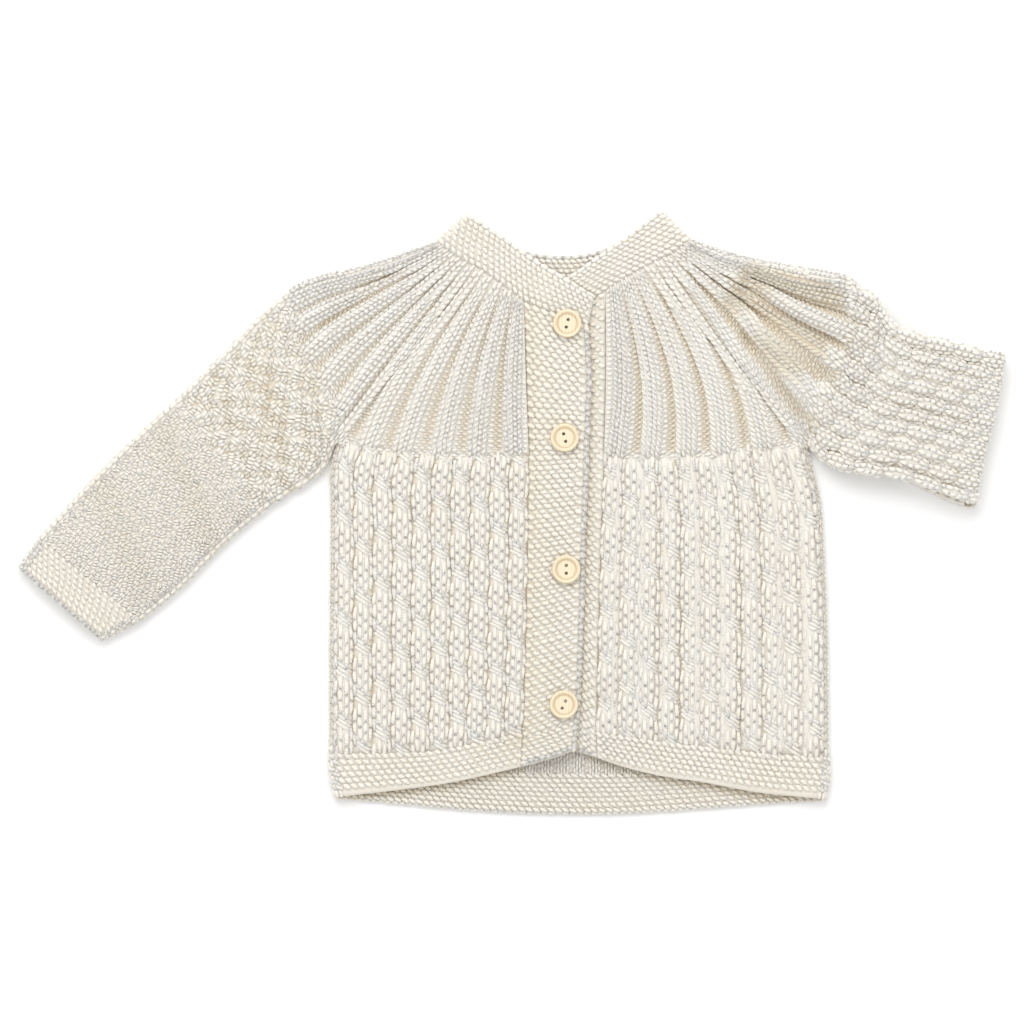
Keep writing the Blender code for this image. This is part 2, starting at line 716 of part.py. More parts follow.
def body(collection):
    """The two fronts and the back below the yoke, and their hems."""
    sides = {"right": (SIDE_RIGHT, HEM_SIDE_RIGHT), "left": (SIDE_LEFT, HEM_SIDE_LEFT)}
    parts = (
        ("front_", "back", WAIST, HEM_TOP, BODY_ROWS, 0, ("near", "far")),
        ("hem_", "hem_back", HEM_TOP, HEM_EDGE, HEM_ROWS, 1, ("near",)),
    )
    for front_name, back_name, top, foot, rows, part, trims in parts:
        for side in ("right", "left"):
            last, outward = turn_line(sides[side][part], rows, TURN, close(top[side]), close(foot[side]))
            plan = patch(top[side][0], foot[side][0], BAND_PARTS[side][part + 1], last)
            rolls = [(down(rows + 1, PANEL_COLUMNS), outward, BACK_Z)]
            cloth(front_name + side, trimmed(plan, (*trims, "first")), FRONT_Z, collection, rolls)
        start, end = opening(top["back"]), opening(foot["back"])
        first, first_out = turn_line(sides["right"][part], rows, TURN, start, end)
        start, end = close(top["back"]), close(foot["back"])
        last, last_out = turn_line(sides["left"][part], rows, TURN, start, end)
        plan = patch(top["back"][0], foot["back"][0], first, last)
        rolls = [
            (down(rows + 1, 0), first_out, FRONT_Z),
            (down(rows + 1, BACK_COLUMNS), last_out, FRONT_Z),
        ]
        cloth(back_name, trimmed(plan, trims), BACK_Z, collection, rolls)


def bands(collection):
    """The two front bands. The right one steps up onto the left one."""
    sewn = joined(*BAND_PARTS["right"])
    columns, rows = len(OVER_BAND_RISE) - 1, len(sewn) - 1
    top, foot = curve(OVER_BAND_TOP, columns), curve(OVER_BAND_FOOT, columns)
    plan = patch(top, foot, sewn, curve(OVER_BAND_FREE, rows))
    cloth("buttonhole_band", trimmed(plan, ("near", "first")), over_band_height()[None], collection)
    plan = patch(
        curve(UNDER_BAND_TOP, UNDER_BAND_COLUMNS),
        curve(UNDER_BAND_FOOT, UNDER_BAND_COLUMNS),
        curve(UNDER_BAND_FREE, rows),
        joined(*BAND_PARTS["left"]),
    )
    cloth("button_band", trimmed(plan, ("near", "last")), FRONT_Z, collection)


def over_band_height():
    """Heights across the upper band, from its sewn edge to its free edge."""
    return FRONT_Z + (OVER_Z - FRONT_Z) * np.array(OVER_BAND_RISE)


def neckband(collection):
    """The neckband as one strip, folded over at both shoulders.

    Its outer edge follows the tops of the bands and of the yoke. It turns round at the shoulders as
    the yoke does.
    """
    columns = len(OVER_BAND_RISE) - 1
    part = PANEL_COLUMNS + 1
    outer = [
        seam(OVER_BAND_TOP[::-1], columns),
        NECK["right"],
        NECK["back"],
        (NECK["left"][0][::-1], NECK["left"][2], NECK["left"][1]),
        seam(UNDER_BAND_TOP[::-1], UNDER_BAND_COLUMNS),
    ]
    inner = [
        seam(NECKBAND_OVER, columns),
        seam(NECKBAND_RIGHT, part, last=TURN),
        seam(NECKBAND_BACK, YOKE_BACK_COLUMNS // 2, first=TURN, last=TURN),
        seam(NECKBAND_LEFT, part, first=TURN),
        seam(NECKBAND_UNDER, UNDER_BAND_COLUMNS),
    ]
    heights = [
        over_band_height()[::-1],
        np.full(part + 1, FRONT_Z),
        np.full(YOKE_BACK_COLUMNS // 2 + 1, BACK_Z),
        np.full(part + 1, FRONT_Z),
        np.full(UNDER_BAND_COLUMNS + 1, FRONT_Z),
    ]
    radius, middle = (FRONT_Z - BACK_Z) / 2, (FRONT_Z + BACK_Z) / 2
    lines, offsets = [], []
    for k in range(len(outer)):
        edges = [outer[k][0], inner[k][0]]
        flat = np.stack([np.column_stack([edge, heights[k]]) for edge in edges], axis=1)
        if k in (1, 4):
            flat = flat[1:]
        lines.append(flat)
        offsets.append(np.zeros_like(flat) + (0.0, 0.0, 1.0 if heights[k][0] > middle else -1.0))
        if k in (1, 2):
            corners = quarter_turn()
            down_half = [(out, high, k) for out, high in corners]
            up_half = [(out, -high, k + 1) for out, high in corners[::-1]]
            turn = down_half + up_half if k == 1 else [(o, -h, w) for o, h, w in down_half + up_half]
            for out, high, which in turn:
                ring, away = [], []
                for edge in (outer, inner):
                    point, direction = close(edge[k]) if which == k else opening(edge[k + 1])
                    ring.append((*(point + direction * radius * out), middle + radius * high))
                    away.append((*(direction * out), high))
                lines.append(np.array(ring)[None])
                offsets.append(np.array(away)[None])
    lines, offsets = np.concatenate(lines), np.concatenate(offsets)
    side = unit(lines[:, 1, :2] - lines[:, 0, :2])
    lines[:, 0, :2] += side * SEAM / 2
    lines = np.stack([lines[:, 0], lines.mean(axis=1), lines[:, 1]], axis=1)
    offsets = np.stack([offsets[:, 0], offsets.mean(axis=1), offsets[:, 1]], axis=1)
    faces = grid_faces(*lines.shape[:2])
    wall("neckband", lines.reshape(-1, 3), offsets.reshape(-1, 3), faces, collection)


def sleeve_right(collection):
    """The right sleeve and its cuff, each a flattened tube."""
    puff = SLEEVE_PUFF * dome(np.linspace(0, 1, PANEL_COLUMNS + 1))[None]
    cuff_seam = seam(CUFF_RIGHT_SEAM, PANEL_COLUMNS, first=TURN, last=TURN)
    cuff_end = seam(CUFF_RIGHT_END, PANEL_COLUMNS, first=TURN, last=TURN)
    pieces = (
        ("sleeve_right", ARMHOLE["right"], cuff_seam, SLEEVE_RIGHT_LOWER, SLEEVE_RIGHT_UPPER, SLEEVE_ROWS),
        ("cuff_right", cuff_seam, cuff_end, CUFF_RIGHT_LOWER, CUFF_RIGHT_UPPER, CUFF_ROWS),
    )
    for name, start, end, lower, upper, rows in pieces:
        first, first_out = turn_line(lower, rows, TURN, opening(start), opening(end))
        last, last_out = turn_line(upper, rows, TURN, close(start), close(end))
        plan = trimmed(patch(start[0], end[0], first, last), ("near", "far"))
        tube(name, plan, FRONT_Z + puff, BACK_Z, (first_out, last_out), collection)


def sleeve_left(collection):
    """The folded left sleeve: the layer that shows, the one under it, the hidden cuff and other layers."""
    rows, columns = SLEEVE_ROWS + 1, PANEL_COLUMNS + 1
    along = np.linspace(0, 1, rows)[:, None]
    across = np.linspace(0, 1, columns)[None]
    past_cap = smooth(along / CAP_END_SHARE)
    crease = CREASE * np.exp(-(((along - CREASE_SHARE) / CREASE_WIDTH_SHARE) ** 2))
    crown = (SLEEVE_CROWN * smooth((1 - along) / CROWN_END_SHARE) - crease) * dome(across)
    rise = cap_rise(1.0, across)
    cap = front_height(rise) + rib_relief(columns, rise)
    height = cap * (1 - past_cap) + (SLEEVE_TOP_Z + crown) * past_cap
    back = back_height(forearm_rise(1.0, across)) * (1 - past_cap) + SLEEVE_BACK_Z * past_cap

    near = ARMHOLE["left"]
    fold = np.array(SLEEVE_LEFT_FOLD)
    lower, lower_end, lower_out = cut_short(SLEEVE_LEFT_LOWER, fold[1] - fold[0])
    upper, upper_end, upper_out = cut_short(SLEEVE_LEFT_UPPER, fold[-2] - fold[-1])
    turn = (height - back) / 2 + EDGE
    first, first_out = turn_line(lower, SLEEVE_ROWS, turn[:, 0], opening(near), (lower_end, lower_out))
    last, last_out = turn_line(upper, SLEEVE_ROWS, turn[:, -1], close(near), (upper_end, upper_out))
    far, low_out, high_out = seam(SLEEVE_LEFT_FOLD, PANEL_COLUMNS, first=SIDE_TURN, last=SIDE_TURN)
    fold_out = -normals(far, near[0][:1])
    far = far - fold_out * FOLD_TURN
    far[0], far[-1] = lower_end, upper_end
    plan = patch(near[0], far, first, last)

    at_end = [(rows - 1, column) for column in range(1, columns - 1)]
    path = down(rows, 0) + at_end + down(rows, columns - 1)[::-1]
    outward = np.concatenate([first_out, fold_out[1:-1], last_out[::-1]])
    at_fold = np.concatenate([np.zeros(rows - 1), [0.5], np.ones(columns - 2), [0.5], np.zeros(rows - 1)])
    partner = np.array([back[at] for at in path]) - (SLEEVE_BACK_Z - BACK_Z) * at_fold
    cloth("sleeve_left", trimmed(plan, ("near",)), height, collection, [(path, outward, partner)])

    cuff_row, meeting = round(CUFF_END_SHARE * SLEEVE_ROWS), round(CUFF_SEAM_SHARE * SLEEVE_ROWS)
    under = np.s_[: meeting + 1]
    rolls = [
        (down(meeting + 1, 0), first_out[under], height[under, 0]),
        (down(meeting + 1, columns - 1), last_out[under], height[under, -1]),
    ]
    cloth("sleeve_left_back", trimmed(plan[under], ("near", "far")), back[under], collection, rolls)
    cuff = np.s_[cuff_row : meeting + 1]
    plan_cuff = trimmed(plan[cuff, 1:-1], ("far",))
    tube("cuff_left", plan_cuff, FOREARM_TOP_Z, BACK_Z, (first_out[cuff], last_out[cuff]), collection)
    plan = trimmed(plan[meeting:], ("near",), HIDDEN_GAP - SEAM / 2)
    hidden_layers(plan, first_out[meeting:], last_out[meeting:], fold_out, collection)


def cut_short(table, fold_direction):
    """A side of the folded sleeve, where it turns at the fold's corner, and its direction out there."""
    points = np.array(table, float)
    along = unit(points[-1] - points[-2])
    square = np.array((-along[1], along[0]))
    square = square * -np.sign(square @ fold_direction)
    corner = points[-1] - along * FOLD_TURN - square * SIDE_TURN
    points[-1] -= along * FOLD_TURN
    return points, corner, unit(along + square)


def hidden_layers(plan, first_out, last_out, fold_out, collection):
    """The hidden layers of the folded sleeve as one rounded solid, with a groove between them at its edges.

    Its rings run round the outline, one for each row of the profile of its edge.
    """
    rows, columns = plan.shape[:2]
    loop = np.concatenate([plan[:, 0], plan[-1, 1:-1], plan[::-1, -1], plan[0, -2:0:-1]])
    inward = unit(plan[1] - plan[0])
    outward = np.concatenate([first_out, fold_out[1:-1], last_out[::-1], -inward[-2:0:-1]])
    share = np.concatenate([np.zeros(rows - 1), [0.5], np.ones(columns - 2), [0.5], np.zeros(rows - 1)])
    share = np.concatenate([share, np.zeros(columns - 2)])
    end = np.zeros(len(loop), bool)
    end[2 * rows + columns - 2 :] = True
    shows = np.zeros(len(loop))
    shows[:rows] = FOREARM_SHOWS * smooth(np.linspace(0, 1.2, rows))
    shows[rows : rows + 2] = FOREARM_SHOWS / 2
    rings = []
    for (out_side, z_side, lower), (out_fold, z_fold), out_end in zip(
        side_profile(), fold_profile(), end_profile(), strict=True
    ):
        out = out_side * (1 - share) + out_fold * share + shows * lower
        out = np.where(end, out_end, out)
        height = z_side * (1 - share) + z_fold * share
        rings.append(np.column_stack([loop + outward * out[:, None], height]))
    count = len(loop)
    faces = grid_faces(len(rings), count, around=True)
    faces += [tuple(range(count)), tuple(range((len(rings) - 1) * count, len(rings) * count))]
    add_mesh("sleeve_left_fold", np.concatenate(rings), faces, collection)


def side_profile():
    """Distance out from the turn line, height, and 1 on the forearm: up the edge and in over the top."""
    forearm = (FOREARM_TOP_Z + EDGE) / 2  # radius of the forearm's rounded edge
    middle = (SLEEVE_TOP_Z + SLEEVE_BACK_Z) / 2
    turns = np.linspace(0, LOBE_TURN, LOBE_POINTS)
    rows = [(forearm * sin(turn), forearm - forearm * cos(turn), min(turn, 1.0)) for turn in turns]
    rows += [(SIDE_TURN * sin(turn), middle - SIDE_TURN * cos(turn), 0.0) for turn in UPPER_TURNS]
    rows.append((SIDE_TURN, middle - SEAM / 2, 0.0))
    inside = np.linspace(SIDE_TURN - CLOTH, -TOP_INSET, TOP_STEPS + 1)
    return rows + [(out, middle - SEAM / 2, 0.0) for out in inside]


def fold_profile():
    """The same at the fold, where the lower half of the fold's roll belongs to the hidden layers."""
    middle = (SLEEVE_TOP_Z + BACK_Z) / 2
    top = (SLEEVE_TOP_Z + SLEEVE_BACK_Z) / 2 - SEAM / 2 - middle
    inner = FOLD_TURN - CLOTH - SEAM
    turns = np.linspace(0, acos(SEAM / 2 / FOLD_TURN), LOBE_POINTS + len(UPPER_TURNS) + 1)
    rows = [(FOLD_TURN * sin(turn), middle - FOLD_TURN * cos(turn)) for turn in turns]
    rows.append((inner, middle - SEAM / 2))
    turns = np.linspace(0, pi / 2 - acos(top / inner), TOP_STEPS + 1)[1:]
    return rows + [(inner * cos(turn), middle + inner * sin(turn)) for turn in turns]


def end_profile():
    """Distance out at the end that is cut off towards the cuff: upright, then in over the top."""
    upright = [0.0] * (LOBE_POINTS + len(UPPER_TURNS) + 1)
    return upright + [-END_INSET * (k + 1) for k in range(TOP_STEPS + 1)]


def button(name, x, y, turn, collection):
    """A turned button with a raised rim, a dished middle and two holes."""
    r, rim, dish, thick = BUTTON_RADIUS, BUTTON_RIM, BUTTON_DISH, BUTTON_THICKNESS
    profile = [
        (0, thick - dish),
        (r - rim - dish * 1.7, thick - dish),
        (r - rim, thick - dish / 2),
        (r - rim * 0.7, thick - dish * 0.07),
        (r - rim * 0.44, thick),
        (r - rim * 0.15, thick - dish / 2),
        (r, thick * 0.62),
        (r - rim * 0.06, thick * 0.35),
        (r - BUTTON_FOOT * 0.47, thick * 0.1),
        (r - BUTTON_FOOT, 0),
        (0, 0),
    ]
    mesh = bpy.data.meshes.new(name)
    points = [(px * MM, 0, pz * MM) for px, pz in profile]
    mesh.from_pydata(points, [(k, k + 1) for k in range(len(points) - 1)], [])
    mesh.materials.append(material(*WOOD))
    made = bpy.data.objects.new(name, mesh)
    collection.objects.link(made)
    made.location = (x * MM, y * MM, (OVER_Z + EDGE + SEAM) * MM)
    made.rotation_euler = (0, 0, turn * pi / 180)
    screw = made.modifiers.new("turned", "SCREW")
    screw.steps = screw.render_steps = BUTTON_SIDES
    screw.use_merge_vertices = True
    screw.merge_threshold = 0.00001
    return made


def drill(made, cutters):
    """Cuts the two sewing holes of a button."""
    for sign in (-1, 1):
        mesh = bpy.data.meshes.new(made.name + "_hole")
        hole = bmesh.new()
        offset = Matrix.Translation((sign * BUTTON_HOLE_APART / 2 * MM, 0, BUTTON_THICKNESS / 2 * MM))
        radius = BUTTON_HOLE_RADIUS * MM
        depth = 3 * BUTTON_THICKNESS * MM
        bmesh.ops.create_cone(
            hole,
            cap_ends=True,
            segments=BUTTON_HOLE_SIDES,
            radius1=radius,
            radius2=radius,
            depth=depth,
            matrix=offset,
        )
        hole.to_mesh(mesh)
        hole.free()
        cutter = bpy.data.objects.new(made.name + "_hole", mesh)
        cutters.objects.link(cutter)
        cutter.location, cutter.rotation_euler = made.location, made.rotation_euler
        cutter.hide_render = True
        cutter.display_type = "WIRE"
        cut = made.modifiers.new("hole", "BOOLEAN")
        cut.operation = "DIFFERENCE"
        cut.solver = "EXACT"
        cut.object = cutter


def main():
    for made in list(bpy.data.objects):
        bpy.data.objects.remove(made)
    cardigan = bpy.data.collections.new("baby_cardigan")
    cutters = bpy.data.collections.new("cutters")
    for collection in (cardigan, cutters):
        bpy.context.scene.collection.children.link(collection)
    yoke_fronts(cardigan)
    yoke_back(cardigan)
    body(cardigan)
    bands(cardigan)
    neckband(cardigan)
    sleeve_right(cardigan)
    sleeve_left(cardigan)
    for name, x, y, turn in BUTTONS:
        drill(button(name, x, y, turn, cardigan), cutters)


main()
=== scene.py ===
"""Looks of a hand-knitted baby cardigan, laid flat on its back.

Every piece of cloth is a thin shell on the form of its CAD solid, with the strands of its stitches on
it. Sides are the wearer's. Lengths in the tables are in millimetres, x to the wearer's left and y to
the neck.
"""

from math import cos, pi, radians, sin

import bpy
import numpy as np
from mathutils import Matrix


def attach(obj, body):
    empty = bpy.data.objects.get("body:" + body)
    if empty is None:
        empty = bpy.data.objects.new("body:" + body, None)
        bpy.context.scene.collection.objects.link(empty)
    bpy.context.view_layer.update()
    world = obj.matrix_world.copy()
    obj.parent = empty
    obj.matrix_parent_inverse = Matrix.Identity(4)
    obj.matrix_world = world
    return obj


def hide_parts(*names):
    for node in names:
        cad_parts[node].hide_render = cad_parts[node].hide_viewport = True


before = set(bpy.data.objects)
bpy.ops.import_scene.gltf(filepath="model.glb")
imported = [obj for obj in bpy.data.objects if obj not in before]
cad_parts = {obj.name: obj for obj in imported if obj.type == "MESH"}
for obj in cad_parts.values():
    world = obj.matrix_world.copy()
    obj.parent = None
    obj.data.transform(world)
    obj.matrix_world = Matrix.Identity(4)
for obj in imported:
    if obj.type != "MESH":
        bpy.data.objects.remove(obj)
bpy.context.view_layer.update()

MM = 0.001
random = np.random.default_rng(7)

# ---------------------------------------------------------------- sizes, as in the CAD

CLOTH = 2.4  # thickness of the cloth
EDGE = CLOTH / 2
LAYER_GAP = 1.2  # between the fronts and the back, and inside the sleeves
FOLD_GAP = 0.8  # between the layers of the folded sleeve
SEAM_GAP = 0.3
SLEEVE_PUFF = 1.2  # how far the right sleeve stands up along its middle
SLEEVE_CROWN = 0.8  # how far the left one does, at its fold
CAP_PUFF = 2.0  # how far the left cap stands over its sleeve
BACK_Z = CLOTH / 2  # each Z is the height of the middle of a layer
FRONT_Z = BACK_Z + CLOTH + LAYER_GAP
OVER_Z = FRONT_Z + CLOTH + SEAM_GAP
FOREARM_TOP_Z = BACK_Z + CLOTH + FOLD_GAP
SLEEVE_BACK_Z = FOREARM_TOP_Z + CLOTH + FOLD_GAP
SLEEVE_TOP_Z = SLEEVE_BACK_Z + CLOTH + LAYER_GAP
CAP_Z = SLEEVE_TOP_Z + CAP_PUFF
CAP_END_SHARE = 0.34  # how far down the left sleeve its cap reaches
CREASE_SHARE = 0.27  # where the crease across the left sleeve lies
CREASE = 1.0
CREASE_WIDTH_SHARE = 0.06
FOREARM_SHOWS = 2.4  # how far the forearm sticks out past the lower edge of the sleeve, at the fold
# Shares of the yoke's depth from which and over which the yoke climbs to the left sleeve, and shares of
# the arm's width over which it does so from the side: of the front to the cap, of the back to the forearm.
CAP_CLIMB_START, CAP_CLIMB, CAP_SIDE = 0.35, 0.55, 0.35
FOREARM_CLIMB_START, FOREARM_CLIMB = 0.6, 0.4
FOREARM_SIDE_START, FOREARM_SIDE = 0.05, 0.35
DOME_SHARE = 0.3  # how far from its edges a rounded layer rises
CROWN_END_SHARE = 0.25  # how far from the fold the left sleeve's crown falls off
# How far inside an outline a layer starts to turn to the other one, at each pair of heights.
TURN = (FRONT_Z - BACK_Z) / 2 + EDGE
CAP_TURN = (CAP_Z - SLEEVE_BACK_Z) / 2 + EDGE
SIDE_TURN = (SLEEVE_TOP_Z - SLEEVE_BACK_Z) / 2 + EDGE
FOLD_TURN = (SLEEVE_TOP_Z - BACK_Z) / 2 + EDGE
UNDER = TURN + SEAM_GAP / 2  # what TURN is under the arms

PANEL_COLUMNS = 10
BACK_COLUMNS = 10
YOKE_COLUMNS = 2 * PANEL_COLUMNS + 2
YOKE_BACK_COLUMNS = BACK_COLUMNS + 2 * PANEL_COLUMNS + 4
FINE = 6  # steps of these grids to one of the CAD's
ROLL = 6  # steps of a quarter turn
SLEEVE_ROWS, CUFF_ROWS, UNDER_BAND_STEPS = 16 * FINE, 2 * FINE, 4 * FINE
CUFF_ROW = 6 * FINE  # row of the left sleeve over the free edge of its folded cuff
CUFF_MEETING = 10 * FINE  # row of it where the cuff ends and the folded forearm starts

RIB_DEPTH = {"left": 1.5, "right": 1.1}  # relief of the ribs of the yoke
CAP_DEPTH = 2.1  # relief of the pleats of the left cap
RIB_FLAT = 0.16  # share of a rib's pitch that is flat on each side of its middle
# Middles of the ribs of the yoke at its end and at the neckband, in the CAD's columns, and the lowest
# place from a rib to the next one.
RIBS = {
    "left": {
        "far": [0.55, 2.3, 4.1, 5.9, 8.0, 10.3, 14.7, 17.3, 19.1, 21.0],
        "near": [2.2, 5.2, 8.3, 11.2, 13.8, 16.0, 17.9, 19.4, 20.6, 21.6],
        "lowest": 0.62,
    },
    "right": {
        "far": [0.8, 2.8, 4.7, 6.8, 8.6, 10.8, 13.3, 15.6, 17.8, 19.8, 21.5],
        "near": [1.5, 4.2, 6.8, 9.2, 11.5, 13.6, 15.5, 17.2, 18.8, 20.2, 21.5],
        "lowest": 0.40,
    },
}
SLEEVE_COLUMNS = 10  # columns of beads round the left sleeve's upper layer
SLEEVE_REPEAT = 14.5  # length of a bead
BEAD_DEPTH = 2.3
BEAD_AT_FOLD = 0.3  # share of that depth at the fold
BEAD_FLOOR = -0.7  # how low it is between the beads, where -1 is all of the depth

SHOULDER_END_RIGHT = (-38.5, 135.2)
SHOULDER_END_LEFT = (90.5, 136.2)
NECK_RIGHT = [(6.5, 104.9), (-5.5, 114.2), (-15.0, 120.7), (-25.0, 125.9), SHOULDER_END_RIGHT]
NECK_LEFT = [(47.5, 110.8), (60.5, 118.8), (72.0, 124.8), (81.5, 129.5), SHOULDER_END_LEFT]
NECK_BACK = [
    SHOULDER_END_RIGHT, (-28.0, 124.7), (-13.0, 115.2), (4.5, 110.2), (27.0, 108.7), (49.5, 111.2),
    (67.0, 118.5), (78.5, 126.7), SHOULDER_END_LEFT,
]
SHOULDER_POINT_RIGHT = (-110.8, 110.6)
SHOULDER_POINT_LEFT = (167.0, 116.0)
UNDERARM_RIGHT = (-87.0, 37.0)
UNDERARM_LEFT = (148.0, 35.5)
SHOULDER_RIGHT = [
    SHOULDER_END_RIGHT, (-55.5, 128.4), (-70.5, 123.6), (-85.5, 119.6), (-99.0, 115.9), SHOULDER_POINT_RIGHT,
]
SHOULDER_LEFT = [SHOULDER_END_LEFT, (111.5, 127.8), (116.5, 126.5), (147.0, 120.2), SHOULDER_POINT_LEFT]
ARMHOLE_RIGHT = [
    UNDERARM_RIGHT, (-86.5, 48.2), (-91.0, 59.7), (-98.5, 70.7), (-105.0, 82.2), (-108.5, 95.7),
    SHOULDER_POINT_RIGHT,
]
ARMHOLE_LEFT = [
    UNDERARM_LEFT, (146.5, 46.0), (151.5, 59.5), (160.5, 74.0), (166.5, 90.0), (168.0, 103.0),
    SHOULDER_POINT_LEFT,
]
WAIST_RIGHT = [(9.0, 28.0), (-5.5, 27.8), (-30.5, 28.5), (-55.5, 30.2), (-74.0, 33.0), UNDERARM_RIGHT]
WAIST_LEFT = [(46.5, 28.0), (69.5, 27.8), (94.5, 28.8), (119.5, 30.8), (139.5, 33.8), UNDERARM_LEFT]
WAIST_BACK = [
    UNDERARM_RIGHT, (-56.0, 30.5), (-12.0, 27.5), (31.0, 26.5), (75.0, 27.5), (118.0, 30.5), UNDERARM_LEFT,
]
SIDE_RIGHT = [
    UNDERARM_RIGHT, (-89.6, 27.5), (-91.2, 18.5), (-91.0, 6.0), (-91.0, -14.3), (-91.5, -64.3),
    (-91.5, -120.7),
]
SIDE_LEFT = [UNDERARM_LEFT, (150.5, 25.7), (155.0, 8.3), (157.5, -24.3), (159.0, -64.3), (159.5, -122.7)]
HEM_SIDE_RIGHT = [(-91.5, -120.7), (-91.2, -131.7), (-88.5, -143.0)]
HEM_SIDE_LEFT = [(159.5, -122.7), (160.0, -131.7), (158.0, -143.9)]
HEM_TOP_RIGHT = [(6.0, -110.2), (-15.5, -115.2), (-35.5, -119.2), (-65.5, -120.7), (-91.5, -120.7)]
HEM_EDGE_RIGHT = [(5.0, -127.7), (-5.5, -130.2), (-30.5, -135.7), (-55.5, -139.2), (-88.5, -143.0)]
HEM_TOP_LEFT = [(42.5, -110.7), (54.5, -112.2), (94.5, -117.2), (144.5, -122.0), (159.5, -122.7)]
HEM_EDGE_LEFT = [
    (43.0, -123.2), (54.5, -127.2), (74.5, -132.2), (94.5, -135.2), (124.5, -140.7), (158.0, -143.9),
]
HEM_TOP_BACK = [
    (-91.5, -120.7), (-55.5, -126.7), (-5.5, -130.2), (27.0, -131.2), (94.5, -129.2), (159.5, -122.7),
]
HEM_EDGE_BACK = [
    (-88.5, -143.0), (-55.5, -145.7), (-30.5, -148.2), (-5.5, -149.9), (24.5, -150.9), (54.5, -150.7),
    (94.5, -148.2), (124.5, -145.9), (158.0, -143.9),
]
OVER_BAND_SEWN = [
    (6.5, 104.9), (7.5, 65.7), (9.0, 28.0), (8.5, -14.3), (7.5, -64.3), (6.0, -110.2), (5.0, -127.7),
]
OVER_BAND_FREE = [
    (38.5, 93.2), (39.5, 80.7), (38.7, 30.7), (37.0, -14.3), (35.5, -64.3), (34.0, -99.3), (32.0, -119.2),
]
OVER_BAND_TOP = [(6.5, 104.9), (14.5, 101.7), (24.5, 98.2), (38.5, 93.2)]
OVER_BAND_FOOT = [(5.0, -127.7), (14.5, -125.2), (24.5, -122.2), (32.0, -119.2)]
OVER_BAND_RISE = [0.0, 0.5, 1.0, 1.0, 1.0, 1.0, 1.0]
UNDER_BAND_FREE = [(25.0, 96.9), (24.5, 30.0), (23.5, -60.0), (22.5, -117.7)]
UNDER_BAND_SEWN = [
    (47.5, 110.8), (47.5, 65.7), (46.5, 28.0), (44.5, -24.3), (43.0, -84.3), (42.5, -110.7), (43.0, -123.2),
]
UNDER_BAND_TOP = [(25.0, 96.9), (28.5, 98.0), (39.5, 105.0), (47.5, 110.8)]
UNDER_BAND_FOOT = [(22.5, -117.7), (32.0, -119.9), (43.0, -123.2)]
NECKBAND_FOLD_RIGHT = (-23.0, 149.2)
NECKBAND_FOLD_LEFT = (76.0, 151.0)
NECKBAND_OVER = [(41.5, 107.7), (32.0, 113.2), (22.5, 119.2), (14.5, 124.2)]
NECKBAND_RIGHT = [(14.5, 124.2), (2.5, 132.2), (-5.5, 138.2), (-13.5, 143.5), NECKBAND_FOLD_RIGHT]
NECKBAND_BACK = [
    NECKBAND_FOLD_RIGHT, (-13.5, 141.2), (-3.0, 134.2), (9.5, 129.2), (27.0, 127.5), (44.5, 130.0),
    (58.5, 137.2), (67.5, 143.2), NECKBAND_FOLD_LEFT,
]
NECKBAND_LEFT = [NECKBAND_FOLD_LEFT, (67.5, 144.7), (59.5, 138.2), (51.5, 132.7), (41.0, 125.5)]
NECKBAND_UNDER = [(41.0, 125.5), (34.5, 120.7), (25.5, 115.2)]
SLEEVE_RIGHT_UPPER = [
    SHOULDER_POINT_RIGHT, (-123.0, 100.7), (-135.5, 88.2), (-155.5, 68.2), (-205.5, 20.7), (-236.5, -12.7),
]
SLEEVE_RIGHT_LOWER = [
    UNDERARM_RIGHT, (-90.2, 28.5), (-93.0, 21.3), (-98.5, 16.2), (-115.5, 5.7), (-140.5, -14.3),
    (-165.5, -39.3), (-184.5, -54.7),
]
CUFF_RIGHT_SEAM = [(-184.5, -54.7), (-210.5, -34.0), (-236.5, -12.7)]
CUFF_RIGHT_UPPER = [(-236.5, -12.7), (-246.5, -27.2)]
CUFF_RIGHT_LOWER = [(-184.5, -54.7), (-204.0, -64.7)]
CUFF_RIGHT_END = [(-204.0, -64.7), (-225.5, -46.0), (-246.5, -27.2)]
SLEEVE_LEFT_UPPER = [
    SHOULDER_POINT_LEFT, (180.0, 109.7), (187.0, 102.7), (190.5, 95.7), (200.0, 90.7), (218.0, 86.2),
    (247.8, 78.8),
]
SLEEVE_LEFT_LOWER = [
    UNDERARM_LEFT, (151.3, 29.5), (155.0, 24.8), (161.0, 21.6), (170.5, 18.7), (194.5, 15.2), (218.0, 7.2),
    (233.0, 2.5),
]
SLEEVE_LEFT_FOLD = [(233.0, 2.5), (237.5, 28.2), (243.0, 49.7), (247.8, 78.8)]

# ---------------------------------------------------------------- lines and patches in plan


def unit(vectors):
    return vectors / np.maximum(np.linalg.norm(vectors, axis=-1, keepdims=True), 1e-9)


